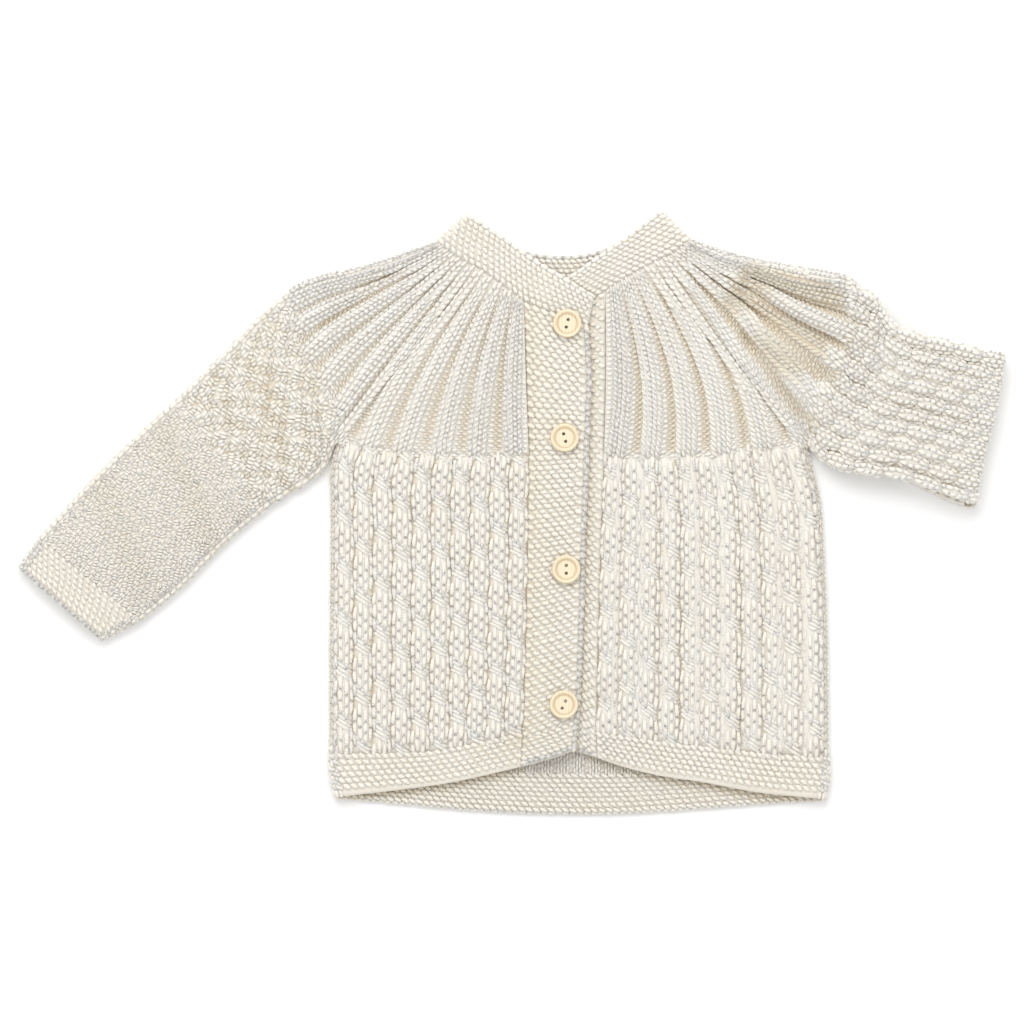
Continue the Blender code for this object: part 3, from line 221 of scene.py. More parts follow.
def curve(points, steps):
    """Evenly spaced points of a smooth curve through the points of a table."""
    points = np.array(points, float)
    chord = np.concatenate([[0], np.cumsum(np.linalg.norm(np.diff(points, axis=0), axis=1))])
    tangent = np.gradient(points, chord, axis=0)
    fine = np.linspace(0, chord[-1], 60 * len(points))
    k = np.clip(np.searchsorted(chord, fine, side="right") - 1, 0, len(points) - 2)
    span = (chord[k + 1] - chord[k])[:, None]
    t = ((fine - chord[k]) / span[:, 0])[:, None]
    line = (
        (2 * t**3 - 3 * t**2 + 1) * points[k]
        + (t**3 - 2 * t**2 + t) * span * tangent[k]
        + (3 * t**2 - 2 * t**3) * points[k + 1]
        + (t**3 - t**2) * span * tangent[k + 1]
    )
    run = np.concatenate([[0], np.cumsum(np.linalg.norm(np.diff(line, axis=0), axis=1))])
    even = np.linspace(0, run[-1], steps + 1)
    return np.stack([np.interp(even, run, line[:, axis]) for axis in (0, 1)], axis=1)


def joined(*lines):
    """One line from lines that each start where the one before ends."""
    return np.concatenate([lines[0]] + [line[1:] for line in lines[1:]])


def seam(table, steps, first=0.0, last=0.0):
    """The line that two pieces share, and the directions out of its first and last point."""
    points = np.array(table, float)
    first_out, last_out = unit(points[0] - points[1]), unit(points[-1] - points[-2])
    points[0] -= first_out * first
    points[-1] -= last_out * last
    return curve(points, steps), first_out, last_out


def normals(line, towards):
    """Normals in plan along a line, on the side on which the points towards lie."""
    along = unit(np.gradient(line, axis=0))
    across = np.stack([-along[:, 1], along[:, 0]], axis=1)
    side = np.sign(((towards - line) * across).sum())
    return across * side


def turn_line(table, rows, turn, start, end):
    """Where the layers start to turn at an outline, and the directions in which they turn."""
    line = curve(table, rows)
    inside = np.linspace(start[0] - start[1] * TURN, end[0] - end[1] * TURN, rows + 1)
    outward = -normals(line, inside)
    line = line - outward * np.reshape(turn, (-1, 1))
    blend = np.linspace(0, 1, rows + 1)
    near_start, near_end = (np.clip(1 - share * rows / FINE, 0, 1)[:, None] for share in (blend, 1 - blend))
    line += near_start * (start[0] - line[0]) + near_end * (end[0] - line[-1])
    outward += near_start * (start[1] - outward[0]) + near_end * (end[1] - outward[-1])
    return line, unit(outward)


def patch(near, far, first, last):
    """A grid in plan between four lines: near and far are rows of it, first and last are columns."""
    rows, columns = len(first), len(near)
    v = np.linspace(0, 1, rows)[:, None, None]
    u = np.linspace(0, 1, columns)[None, :, None]
    ruled = (1 - v) * near[None] + v * far[None]
    other = (1 - u) * first[:, None] + u * last[:, None]
    corners = (1 - v) * ((1 - u) * near[0] + u * near[-1]) + v * ((1 - u) * far[0] + u * far[-1])
    return ruled + other - corners


def smooth(x):
    """A soft step: 0 up to 0, 1 from 1 on."""
    x = np.clip(x, 0, 1)
    return x * x * (3 - 2 * x)


def dome(share):
    """0 at both edges of a layer, shares 0 and 1, and 1 in between."""
    return smooth(share / DOME_SHARE) * smooth((1 - share) / DOME_SHARE)


def begin(line):
    """The first point of a seam, and the direction out of it."""
    return line[0][0], line[1]


def finish_of(line):
    """The last point of a seam, and the direction out of it."""
    return line[0][-1], line[2]


PANEL = PANEL_COLUMNS * FINE
NECK = {
    "right": seam(NECK_RIGHT, YOKE_COLUMNS * FINE, last=TURN),
    "left": seam(NECK_LEFT, YOKE_COLUMNS * FINE, last=TURN),
    "back": seam(NECK_BACK, YOKE_BACK_COLUMNS * FINE, first=TURN, last=TURN),
}
WAIST = {
    "right": seam(WAIST_RIGHT, PANEL, last=UNDER),
    "left": seam(WAIST_LEFT, PANEL, last=UNDER),
    "back": seam(WAIST_BACK, BACK_COLUMNS * FINE, first=UNDER, last=UNDER),
}
ARMHOLE = {
    "right": seam(ARMHOLE_RIGHT, PANEL, first=UNDER, last=TURN),
    "left": seam(ARMHOLE_LEFT, PANEL, first=UNDER, last=CAP_TURN),
}
HEM_TOP = {
    "right": seam(HEM_TOP_RIGHT, PANEL, last=TURN),
    "left": seam(HEM_TOP_LEFT, PANEL, last=TURN),
    "back": seam(HEM_TOP_BACK, BACK_COLUMNS * FINE, first=TURN, last=TURN),
}
HEM_EDGE = {
    "right": seam(HEM_EDGE_RIGHT, PANEL, last=TURN),
    "left": seam(HEM_EDGE_LEFT, PANEL, last=TURN),
    "back": seam(HEM_EDGE_BACK, BACK_COLUMNS * FINE, first=TURN, last=TURN),
}
YOKE_STEPS, BODY_STEPS, HEM_STEPS = 6 * FINE, 12 * FINE, 2 * FINE
BAND_PARTS = {
    side: (curve(table[:3], YOKE_STEPS), curve(table[2:6], BODY_STEPS), curve(table[5:], HEM_STEPS))
    for side, table in (("right", OVER_BAND_SEWN), ("left", UNDER_BAND_SEWN))
}
SHOULDER = {"right": SHOULDER_RIGHT, "left": SHOULDER_LEFT}
UNDERARM = {"right": np.array(UNDERARM_RIGHT), "left": np.array(UNDERARM_LEFT)}


def cap_rise(share_down, share_arm):
    """How far the front has climbed to the left cap, from 0 to 1."""
    return smooth((share_down - CAP_CLIMB_START) / CAP_CLIMB) * smooth(share_arm / CAP_SIDE)


def forearm_rise(share_down, share_arm):
    """How far the back has climbed over the folded forearm, from 0 to 1."""
    down_part = smooth((share_down - FOREARM_CLIMB_START) / FOREARM_CLIMB)
    return down_part * smooth((share_arm - FOREARM_SIDE_START) / FOREARM_SIDE)


def front_height(rise):
    return FRONT_Z + (CAP_Z - FRONT_Z) * rise


def back_height(rise):
    return BACK_Z + (SLEEVE_BACK_Z - BACK_Z) * rise


# ---------------------------------------------------------------- layers of cloth


def place_on(steps, values):
    """Where values fall among the steps of a grid, also a little beyond its ends."""
    index = np.interp(values, steps, np.arange(len(steps)))
    index = index + np.minimum(values - steps[0], 0) / (steps[1] - steps[0])
    return index + np.maximum(values - steps[-1], 0) / (steps[-1] - steps[-2])


class Layer:
    """One layer of cloth: a grid of points in its middle, and normals to the side that shows.

    A point of it is named by a across and b along, each from 0 to 1 on the layer's level part and
    beyond that where its edges turn towards the other layer.
    """

    def __init__(self, points, normal, a, b):
        self.points, self.normal, self.a, self.b = points, normal, a, b
        self.low = np.zeros(points.shape[:2])
        self.prepare()
        steps = np.cross(points[1:, :-1] - points[:-1, :-1], points[:-1, 1:] - points[:-1, :-1])
        self.area = np.linalg.norm(steps, axis=2).sum()
        self.width = np.linalg.norm(np.diff(points, axis=1), axis=2).sum(axis=1).max()
        self.length = np.linalg.norm(np.diff(points, axis=0), axis=2).sum(axis=0).max()

    def prepare(self):
        rise_a = np.gradient(self.points, self.a, axis=1)
        rise_b = np.gradient(self.points, self.b, axis=0)
        self.reach = np.stack([np.linalg.norm(rise_a, axis=2), np.linalg.norm(rise_b, axis=2)], axis=2)
        self.all = np.concatenate([self.points, self.normal, self.reach, self.low[..., None]], axis=2)
        r, c = len(self.b) // 2, len(self.a) // 2
        self.hand = np.sign(np.cross(rise_a[r, c], rise_b[r, c]) @ self.normal[r, c])
        self.size = np.median(self.reach.reshape(-1, 2), axis=0)

    def at(self, a, b):
        """Points, normals, millimetres to one of a and of b, and how low the point lies."""
        column, row = place_on(self.a, a), place_on(self.b, b)
        c = np.clip(column.astype(int), 0, len(self.a) - 2)
        r = np.clip(row.astype(int), 0, len(self.b) - 2)
        u, v = (column - c)[..., None], (row - r)[..., None]
        low = self.all[r, c] * (1 - u) + self.all[r, c + 1] * u
        high = self.all[r + 1, c] * (1 - u) + self.all[r + 1, c + 1] * u
        found = low * (1 - v) + high * v
        return found[..., :3], unit(found[..., 3:6]), np.maximum(found[..., 6:8], 1.0), found[..., 8]

    def embossed(self, relief):
        """The layer raised by relief, in millimetres on its grid; where it folds up, normals stay."""
        points = self.points + self.normal * relief[..., None]
        turn = np.cross(np.gradient(points, axis=1), np.gradient(points, axis=0))
        size = np.linalg.norm(turn, axis=2, keepdims=True)
        turn = unit(turn) * np.sign((turn * self.normal).sum(axis=2, keepdims=True))
        sound = smooth((size - 0.2) / 0.6) * smooth(((turn * self.normal).sum(axis=2, keepdims=True)) * 2)
        self.points, self.normal = points, unit(turn * sound + self.normal * (1 - sound))
        self.low = self.low - relief
        self.prepare()
        return self

    def part(self, rows):
        return Layer(self.points[rows], self.normal[rows], self.a, self.b[rows])

    def other_side(self):
        return Layer(self.points, -self.normal, self.a, self.b)


def level_normals(points, up):
    """Normals of a grid of points, up where up is 1 and down where it is -1."""
    found = unit(np.cross(np.gradient(points, axis=1), np.gradient(points, axis=0)))
    return found * np.sign(found[..., 2:]) * up


def layer(plan, height, up, first=None, last=None, far=None):
    """A layer from its level part in plan, its height, and the edges that turn to the other layer.

    Each of first, last and far is (directions out, height of the other layer). up is 1 on the upper
    layer and -1 on the lower one.
    """
    rows, columns = plan.shape[:2]
    points = np.dstack([plan, np.broadcast_to(height, (rows, columns))])
    grid = np.dstack([points, level_normals(points, up)])
    turns = (np.arange(ROLL) + 1) * pi / 2 / ROLL
    a, b = np.linspace(0, 1, columns), np.linspace(0, 1, rows)
    width = np.linalg.norm(np.diff(points[rows // 2], axis=0), axis=1).sum()
    length = np.linalg.norm(np.diff(points[:, columns // 2], axis=0), axis=1).sum()

    def rolled(edge, outward, partner, turn):
        """One line of a turned edge: its points and, beside them, its normals."""
        radius = ((edge[:, 2] - partner) / 2)[:, None]
        at = edge[:, :2] + outward * np.abs(radius) * np.sin(turn)
        z = partner[:, None] + radius * (1 + np.cos(turn))
        return np.column_stack([at, z, outward * np.sin(turn), np.full(len(edge), up * np.cos(turn))])

    def wide(out, partner, count):
        return np.asarray(out, float), np.broadcast_to(np.asarray(partner, float), (count,))

    if far is not None:
        far_out, far_partner = wide(*far, columns)
        far_rows = np.array([rolled(grid[-1], far_out, far_partner, turn) for turn in turns])
        radius = np.abs(grid[-1, columns // 2, 2] - far_partner[columns // 2]) / 2
        b = np.concatenate([b, 1 + radius * turns / length])
    sides = []
    for spec, column in ((first, 0), (last, -1)):
        if spec is None:
            sides.append(None)
            continue
        out, partner = wide(*spec, rows)
        strip = np.array([rolled(grid[:, column], out, partner, turn) for turn in turns]).swapaxes(0, 1)
        if far is not None:
            corner = []
            for beta in turns:
                for alpha in turns:
                    gamma = max(alpha, beta)
                    to_side, to_far = alpha / gamma, beta / gamma
                    towards = unit(to_side * out[-1:] + to_far * far_out[[column]])
                    share = to_far**2 / (to_side**2 + to_far**2)
                    other = partner[-1] * (1 - share) + far_partner[column] * share
                    corner.append(rolled(grid[-1, column][None], towards, np.array([other]), gamma)[0])
            strip = np.concatenate([strip, np.reshape(corner, (ROLL, ROLL, 6))])
        radius = np.abs(grid[rows // 2, column, 2] - partner[rows // 2]) / 2
        sides.append((strip, radius * turns / width))
    if far is not None:
        grid = np.concatenate([grid, far_rows])
    if sides[0]:
        strip, steps = sides[0]
        grid, a = np.concatenate([strip[:, ::-1], grid], axis=1), np.concatenate([-steps[::-1], a])
    if sides[1]:
        strip, steps = sides[1]
        grid, a = np.concatenate([grid, strip], axis=1), np.concatenate([a, 1 + steps])
    return Layer(grid[..., :3], grid[..., 3:], a, b)


# ---------------------------------------------------------------- the layers of the cardigan


def under_arm(start, under, end):
    """The yoke's end under an arm, from the waist to the armhole or back."""
    step = np.linspace(0, 1, FINE + 1)[1:, None]
    return np.concatenate([start * (1 - step) + under * step, under * (1 - step) + end * step])


def yoke_front(side):
    """A front half of the yoke, from the neck, b 0, to the waist and the armhole, b 1."""
    rows, columns = YOKE_STEPS + 1, YOKE_COLUMNS * FINE + 1
    down_share = np.linspace(0, 1, rows)[:, None]
    column = np.linspace(0, YOKE_COLUMNS, columns)
    arm_share = np.clip((column - PANEL_COLUMNS - 2) / PANEL_COLUMNS, 0, 1)[None]
    on_left = side == "left"
    rise = cap_rise(down_share, arm_share) * on_left
    puff = (1 - on_left) * SLEEVE_PUFF * dome(arm_share) * smooth(down_share)
    back = back_height(forearm_rise(down_share[:, 0], 1.0) * on_left)
    waist, arm, under = WAIST[side][0], ARMHOLE[side][0], UNDERARM[side]
    far = np.concatenate([waist, under_arm(waist[-1], under, arm[0]), arm[1:]])
    plain = front_height(rise) + puff
    turn = (plain[:, -1] - back) / 2 + EDGE
    last, outward = turn_line(
        SHOULDER[side], YOKE_STEPS, turn, finish_of(NECK[side]), finish_of(ARMHOLE[side])
    )
    plan = patch(NECK[side][0], far, BAND_PARTS[side][0], last)
    # The creases fade at the neck and the shoulder, and at the end but for what goes on in the next piece.
    meets = np.where(column < PANEL_COLUMNS + 1, smooth((PANEL_COLUMNS - column) / 0.8), dome(arm_share))
    late = smooth(down_share * 2 - 1)
    side_fade = smooth((YOKE_COLUMNS - column[None]) / 2)
    height = plain - creased(plan) * smooth(down_share * 4) * side_fade * (1 - late + late * meets)
    made = layer(plan, height, 1, last=(outward, back))
    # The ribs fade at the neck, and at the waist but for the cap, whose pleats go on down the sleeve.
    rise = np.pad(rise, ((0, 0), (0, ROLL)), mode="edge")
    deep = RIB_DEPTH[side] + (CAP_DEPTH - RIB_DEPTH[side]) * rise
    ends = smooth(made.b * 5)[:, None] * (1 - (1 - smooth(rise * 3)) * smooth(made.b * 24 - 23)[:, None])
    return made.embossed(rib_shape(RIBS[side], made) * deep * ends)


def rib_lines(table, b):
    """Where each rib's middle is at b, in a, from its ends at the neckband and at the yoke's end."""
    near, far = np.array(table["near"]) / YOKE_COLUMNS, np.array(table["far"]) / YOKE_COLUMNS
    return near + (far - near) * np.asarray(b)[..., None]


def pleat(place, lowest, flat):
    """1 on ribs at the whole numbers, flat on each side of them, and -1 at the lowest place between them."""
    place = place % 1
    down, up = smooth((place - flat) / (lowest - flat)), smooth((place - lowest) / (1 - 0.7 * flat - lowest))
    return 1 - 2 * np.where(place < lowest, down, 1 - up)


def rib_shape(table, piece):
    """1 on the ribs of a table, -1 at the lowest places between them."""
    shape = np.zeros((len(piece.b), len(piece.a)))
    for r, b in enumerate(piece.b):
        middle = rib_lines(table, b)
        place = np.interp(piece.a, middle, np.arange(len(middle)))
        shape[r] = pleat(place, table["lowest"], RIB_FLAT)
    return shape


def yoke_back_layer():
    """The back half of the yoke, from the neck to the right arm, the waist and the left arm."""
    rows, columns = YOKE_STEPS + 1, YOKE_BACK_COLUMNS * FINE + 1
    down_share = np.linspace(0, 1, rows)
    column = np.linspace(0, YOKE_BACK_COLUMNS, columns)
    arm_share = np.clip((column - (YOKE_BACK_COLUMNS - PANEL_COLUMNS)) / PANEL_COLUMNS, 0, 1)
    height = back_height(forearm_rise(down_share[:, None], arm_share[None]))
    front_left = front_height(cap_rise(down_share, 1.0))
    turn_left = (front_left - height[:, -1]) / 2 + EDGE
    first, first_out = turn_line(
        SHOULDER["right"], YOKE_STEPS, TURN, begin(NECK["back"]), finish_of(ARMHOLE["right"])
    )
    last, last_out = turn_line(
        SHOULDER["left"], YOKE_STEPS, turn_left, finish_of(NECK["back"]), finish_of(ARMHOLE["left"])
    )
    arm_right, arm_left, waist = ARMHOLE["right"][0][::-1], ARMHOLE["left"][0], WAIST["back"][0]
    far = np.concatenate(
        [
            arm_right,
            under_arm(arm_right[-1], UNDERARM["right"], waist[0]),
            waist[1:],
            under_arm(waist[-1], UNDERARM["left"], arm_left[0]),
            arm_left[1:],
        ]
    )
    plan = patch(NECK["back"][0], far, first, last)
    return layer(plan, height, -1, first=(first_out, FRONT_Z), last=(last_out, front_left))


def body_layers():
    """The fronts, the back and the hems, by node."""
    found = {}
    parts = (
        ("front_", "back", WAIST, HEM_TOP, BODY_STEPS, {"right": SIDE_RIGHT, "left": SIDE_LEFT}),
        ("hem_", "hem_back", HEM_TOP, HEM_EDGE, HEM_STEPS, {"right": HEM_SIDE_RIGHT, "left": HEM_SIDE_LEFT}),
    )
    for part, (front, back, top, foot, rows, sides) in enumerate(parts, 1):
        for side in ("right", "left"):
            last, outward = turn_line(sides[side], rows, TURN, finish_of(top[side]), finish_of(foot[side]))
            plan = patch(top[side][0], foot[side][0], BAND_PARTS[side][part], last)
            found[front + side] = layer(plan, body_height(plan), 1, last=(outward, BACK_Z))
        near, far = top["back"], foot["back"]
        first, first_out = turn_line(sides["right"], rows, TURN, begin(near), begin(far))
        last, last_out = turn_line(sides["left"], rows, TURN, finish_of(near), finish_of(far))
        plan = patch(near[0], far[0], first, last)
        found[back] = layer(plan, BACK_Z, -1, first=(first_out, FRONT_Z), last=(last_out, FRONT_Z))
    return found


# Soft troughs pressed into the fronts and sleeves: x, y of both ends, half width, depth.
CREASES = [
    (-60.0, 24.0, -20.0, -40.0, 9.0, 0.35),
    (-78.0, -10.0, -70.0, -100.0, 7.0, 0.3),
    (60.0, 20.0, 84.0, -60.0, 9.0, 0.35),
    (128.0, 28.0, 136.0, -70.0, 8.0, 0.35),
    (100.0, -60.0, 112.0, -118.0, 8.0, 0.3),
    (-30.0, -60.0, -24.0, -112.0, 8.0, 0.3),
    (-122.0, 66.0, -112.0, 8.0, 7.0, 0.7),
    (-150.0, 66.0, -126.0, 14.0, 6.0, 0.5),
    (-104.0, 92.0, -98.0, 26.0, 6.0, 0.6),
    (-172.0, 40.0, -150.0, -18.0, 7.0, 0.5),
    (-205.0, 12.0, -182.0, -40.0, 8.0, 0.4),
    (-57.0, 119.0, -94.0, 95.0, 4.5, 1.5),
    (120.0, 118.0, 164.0, 108.0, 6.0, 3.0),
    (114.0, 108.0, 156.0, 84.0, 5.5, 2.8),
    (120.0, 86.0, 150.0, 66.0, 5.0, 2.4),
]
EVERY_Z = 99.0
# Shade beside a lap or in a fold: its line, half width and depth, and the height that it reaches up to.
SHADES = [
    (HEM_EDGE_RIGHT, 3.6, 1.3, BACK_Z + CLOTH / 2),
    (HEM_EDGE_LEFT, 3.6, 1.3, BACK_Z + CLOTH / 2),
    (OVER_BAND_FREE, 2.4, 1.0, FRONT_Z + CLOTH / 2),
    ([(112.0, 110.0), (156.0, 92.0)], 21.0, 2.4, EVERY_Z),
    ([(122.0, 117.0), (158.0, 111.0)], 6.0, 0.8, EVERY_Z),
    ([(114.0, 107.0), (148.0, 88.0)], 6.0, 0.8, EVERY_Z),
    ([(118.0, 88.0), (142.0, 68.0)], 5.5, 0.7, EVERY_Z),
    ([(6.0, 96.0), (5.0, -112.0)], 12.0, 0.55, EVERY_Z),
    ([(-132.0, 72.0), (-120.0, 44.0)], 9.0, 0.3, EVERY_Z),
]


def creased(plan):
    """How far the creases lower each point of a plan: troughs, with a low ridge on each side."""
    total = np.zeros(plan.shape[:-1])
    for x0, y0, x1, y1, width, depth in CREASES:
        start, end = np.array((x0, y0)), np.array((x1, y1))
        share = ((plan - start) @ (end - start)) / ((end - start) @ (end - start))
        near = start + np.clip(share, 0, 1)[..., None] * (end - start)
        away = np.linalg.norm(plan - near, axis=-1) / width
        total += depth * (np.exp(-(away**2)) - 0.3 * np.exp(-((away - 1.7) ** 2) * 2))
    return total


def body_height(plan):
    """Heights of a front or of its hem, with creases that fade at both edges."""
    edge = np.linspace(0, 1, plan.shape[1])[None]
    return FRONT_Z - creased(plan) * smooth(edge / 0.08) * smooth((1 - edge) / 0.08)


def sleeve_right_layers():
    """The upper and lower layers of the right sleeve and of its cuff."""
    edge = dome(np.linspace(0, 1, PANEL + 1))[None]
    cuff_seam = seam(CUFF_RIGHT_SEAM, PANEL, first=TURN, last=TURN)
    cuff_end = seam(CUFF_RIGHT_END, PANEL, first=TURN, last=TURN)
    found = {}
    pieces = (
        ("sleeve_right", ARMHOLE["right"], cuff_seam, SLEEVE_RIGHT_LOWER, SLEEVE_RIGHT_UPPER, SLEEVE_ROWS),
        ("cuff_right", cuff_seam, cuff_end, CUFF_RIGHT_LOWER, CUFF_RIGHT_UPPER, CUFF_ROWS),
    )
    for name, start, end, lower, upper, rows in pieces:
        first, first_out = turn_line(lower, rows, TURN, begin(start), begin(end))
        last, last_out = turn_line(upper, rows, TURN, finish_of(start), finish_of(end))
        plan = patch(start[0], end[0], first, last)
        height = FRONT_Z + (SLEEVE_PUFF - creased(plan)) * edge
        top = layer(plan, height, 1, first=(first_out, BACK_Z), last=(last_out, BACK_Z))
        low = layer(plan, BACK_Z, -1, first=(first_out, height[:, 0]), last=(last_out, height[:, -1]))
        found[name] = (top, low)
    return found


def cut_short(table, fold_direction):
    """A side of the left sleeve, cut back where its turn meets the fold's, with the corner between them."""
    points = np.array(table, float)
    along = unit(points[-1] - points[-2])
    square = np.array((-along[1], along[0]))
    square = square * -np.sign(square @ fold_direction)
    corner = points[-1] - along * FOLD_TURN - square * SIDE_TURN
    points[-1] -= along * FOLD_TURN
    return points, corner, unit(square)


def sleeve_left_layers():
    """The left sleeve's layers: on top, beneath, the cuff's two, and the folded forearm's lower and upper."""
    rows, columns = SLEEVE_ROWS + 1, PANEL + 1
    along = np.linspace(0, 1, rows)[:, None]
    across = np.linspace(0, 1, columns)[None]
    past_cap = smooth(along / CAP_END_SHARE)
    crease = CREASE * np.exp(-(((along - CREASE_SHARE) / CREASE_WIDTH_SHARE) ** 2))
    crown = SLEEVE_CROWN * smooth((1 - along) / CROWN_END_SHARE) * dome(across)
    rise = cap_rise(1.0, across)
    height = front_height(rise) * (1 - past_cap) + (SLEEVE_TOP_Z + crown) * past_cap
    back = back_height(forearm_rise(1.0, across)) * (1 - past_cap) + SLEEVE_BACK_Z * past_cap
    near = ARMHOLE["left"]
    fold = np.array(SLEEVE_LEFT_FOLD)
    lower, lower_end, lower_out = cut_short(SLEEVE_LEFT_LOWER, fold[1] - fold[0])
    upper, upper_end, upper_out = cut_short(SLEEVE_LEFT_UPPER, fold[-2] - fold[-1])
    turn = (height - back) / 2 + EDGE
    first, first_out = turn_line(lower, rows - 1, turn[:, 0], begin(near), (lower_end, lower_out))
    last, last_out = turn_line(upper, rows - 1, turn[:, -1], finish_of(near), (upper_end, upper_out))
    far, _, _ = seam(SLEEVE_LEFT_FOLD, PANEL, first=SIDE_TURN, last=SIDE_TURN)
    fold_out = -normals(far, near[0][:1])
    far = far - fold_out * FOLD_TURN
    far[0], far[-1] = lower_end, upper_end
    plan = patch(near[0], far, first, last)
    height = height - (crease + creased(plan)) * dome(across)
    outs = dict(first=(first_out, back[:, 0]), last=(last_out, back[:, -1]))
    top = layer(plan, height, 1, **outs, far=(fold_out, BACK_Z))
    middle = (np.array(RIBS["left"]["far"]) - PANEL_COLUMNS - 2) / PANEL_COLUMNS
    wave = pleat(np.interp(top.a, middle, np.arange(len(middle))), RIBS["left"]["lowest"], RIB_FLAT)[None]
    full = np.interp(top.a, across[0], cap_rise(1.0, across)[0])[None]
    fade = (1 - smooth(top.b / 0.16))[:, None]
    beads = bead_shape(top, SLEEVE_COLUMNS, SLEEVE_REPEAT)
    depth = RIB_DEPTH["left"] + (CAP_DEPTH - RIB_DEPTH["left"]) * full
    at_fold = BEAD_AT_FOLD + (1 - BEAD_AT_FOLD) * smooth((1 - top.b) * 9)[:, None]
    top.embossed(wave * fade * depth + beads * (1 - fade) * BEAD_DEPTH * at_fold)
    under = np.s_[: CUFF_MEETING + 1]
    low = layer(
        plan[under],
        back[under],
        -1,
        first=(first_out[under], height[under][:, 0]),
        last=(last_out[under], height[under][:, -1]),
    )
    inset = np.s_[CUFF_ROW : CUFF_MEETING + 1]
    cuff_plan = plan[inset, FINE:-FINE]
    cuff_outs = (first_out[inset], last_out[inset])
    cuff = [
        layer(cuff_plan, z, up, first=(cuff_outs[0], other), last=(cuff_outs[1], other))
        for z, up, other in ((FOREARM_TOP_Z, 1, BACK_Z), (BACK_Z, -1, FOREARM_TOP_Z))
    ]
    hidden = np.s_[CUFF_MEETING:]
    hidden_plan = plan[hidden].copy()
    shows = FOREARM_SHOWS * smooth(np.linspace(0, 1.2, len(hidden_plan)))
    inner = SIDE_TURN - (FOREARM_TOP_Z + EDGE) / 2
    pushed = (first_out[hidden] * (shows + inner)[:, None])[:, None]
    hidden_plan += pushed * (1 - smooth(np.linspace(0, 5, columns)))[None, :, None]
    outs = dict(first=(first_out[hidden], FOREARM_TOP_Z), last=(last_out[hidden], FOREARM_TOP_Z))
    forearm = layer(hidden_plan, BACK_Z, -1, **outs, far=(fold_out, SLEEVE_TOP_Z))
    outs = dict(first=(first_out[hidden], BACK_Z), last=(last_out[hidden], BACK_Z))
    forearm_top = layer(hidden_plan, FOREARM_TOP_Z, 1, **outs)
    return top, low, cuff, forearm, forearm_top


def bead_shape(piece, columns, repeat):
    """1 in the middle of each bead of a half-dropped column, BEAD_FLOOR where beads and columns part."""
    a0, a1 = piece.a[0], piece.a[-1]
    place = (piece.a[None] - a0) / (a1 - a0) * columns
    phase = piece.b[:, None] * piece.size[1] / repeat + 0.5 * (np.floor(place) % 2)
    across = np.sin(np.clip(place % 1, 0, 1) * pi) ** 0.6
    along = np.abs(np.sin(phase * pi)) ** 0.5
    return np.maximum(2 * across * (0.45 + 0.55 * along) - 1, BEAD_FLOOR)


def strip_layer(plan, height, up):
    """A layer whose edges don't turn."""
    points = np.dstack([plan, np.broadcast_to(height, plan.shape[:2])])
    rows, columns = plan.shape[:2]
    return Layer(points, level_normals(points, up), np.linspace(0, 1, columns), np.linspace(0, 1, rows))


def band_rise():
    """The heights of the buttonhole band, from its seam to its free edge."""
    columns = len(OVER_BAND_RISE) - 1
    rise = np.interp(np.linspace(0, columns, columns * FINE + 1), np.arange(columns + 1), OVER_BAND_RISE)
    return FRONT_Z + (OVER_Z - FRONT_Z) * smooth(rise)


def band_layers():
    """The buttonhole band and, under it, the button band."""
    sewn = joined(*BAND_PARTS["right"])
    rise = band_rise()
    plan = patch(
        curve(OVER_BAND_TOP, len(rise) - 1),
        curve(OVER_BAND_FOOT, len(rise) - 1),
        sewn,
        curve(OVER_BAND_FREE, len(sewn) - 1),
    )
    over = strip_layer(plan, rise[None], 1)
    plan = patch(
        curve(UNDER_BAND_TOP, UNDER_BAND_STEPS),
        curve(UNDER_BAND_FOOT, UNDER_BAND_STEPS),
        curve(UNDER_BAND_FREE, len(sewn) - 1),
        joined(*BAND_PARTS["left"]),
    )
    return over, strip_layer(plan, FRONT_Z, 1)


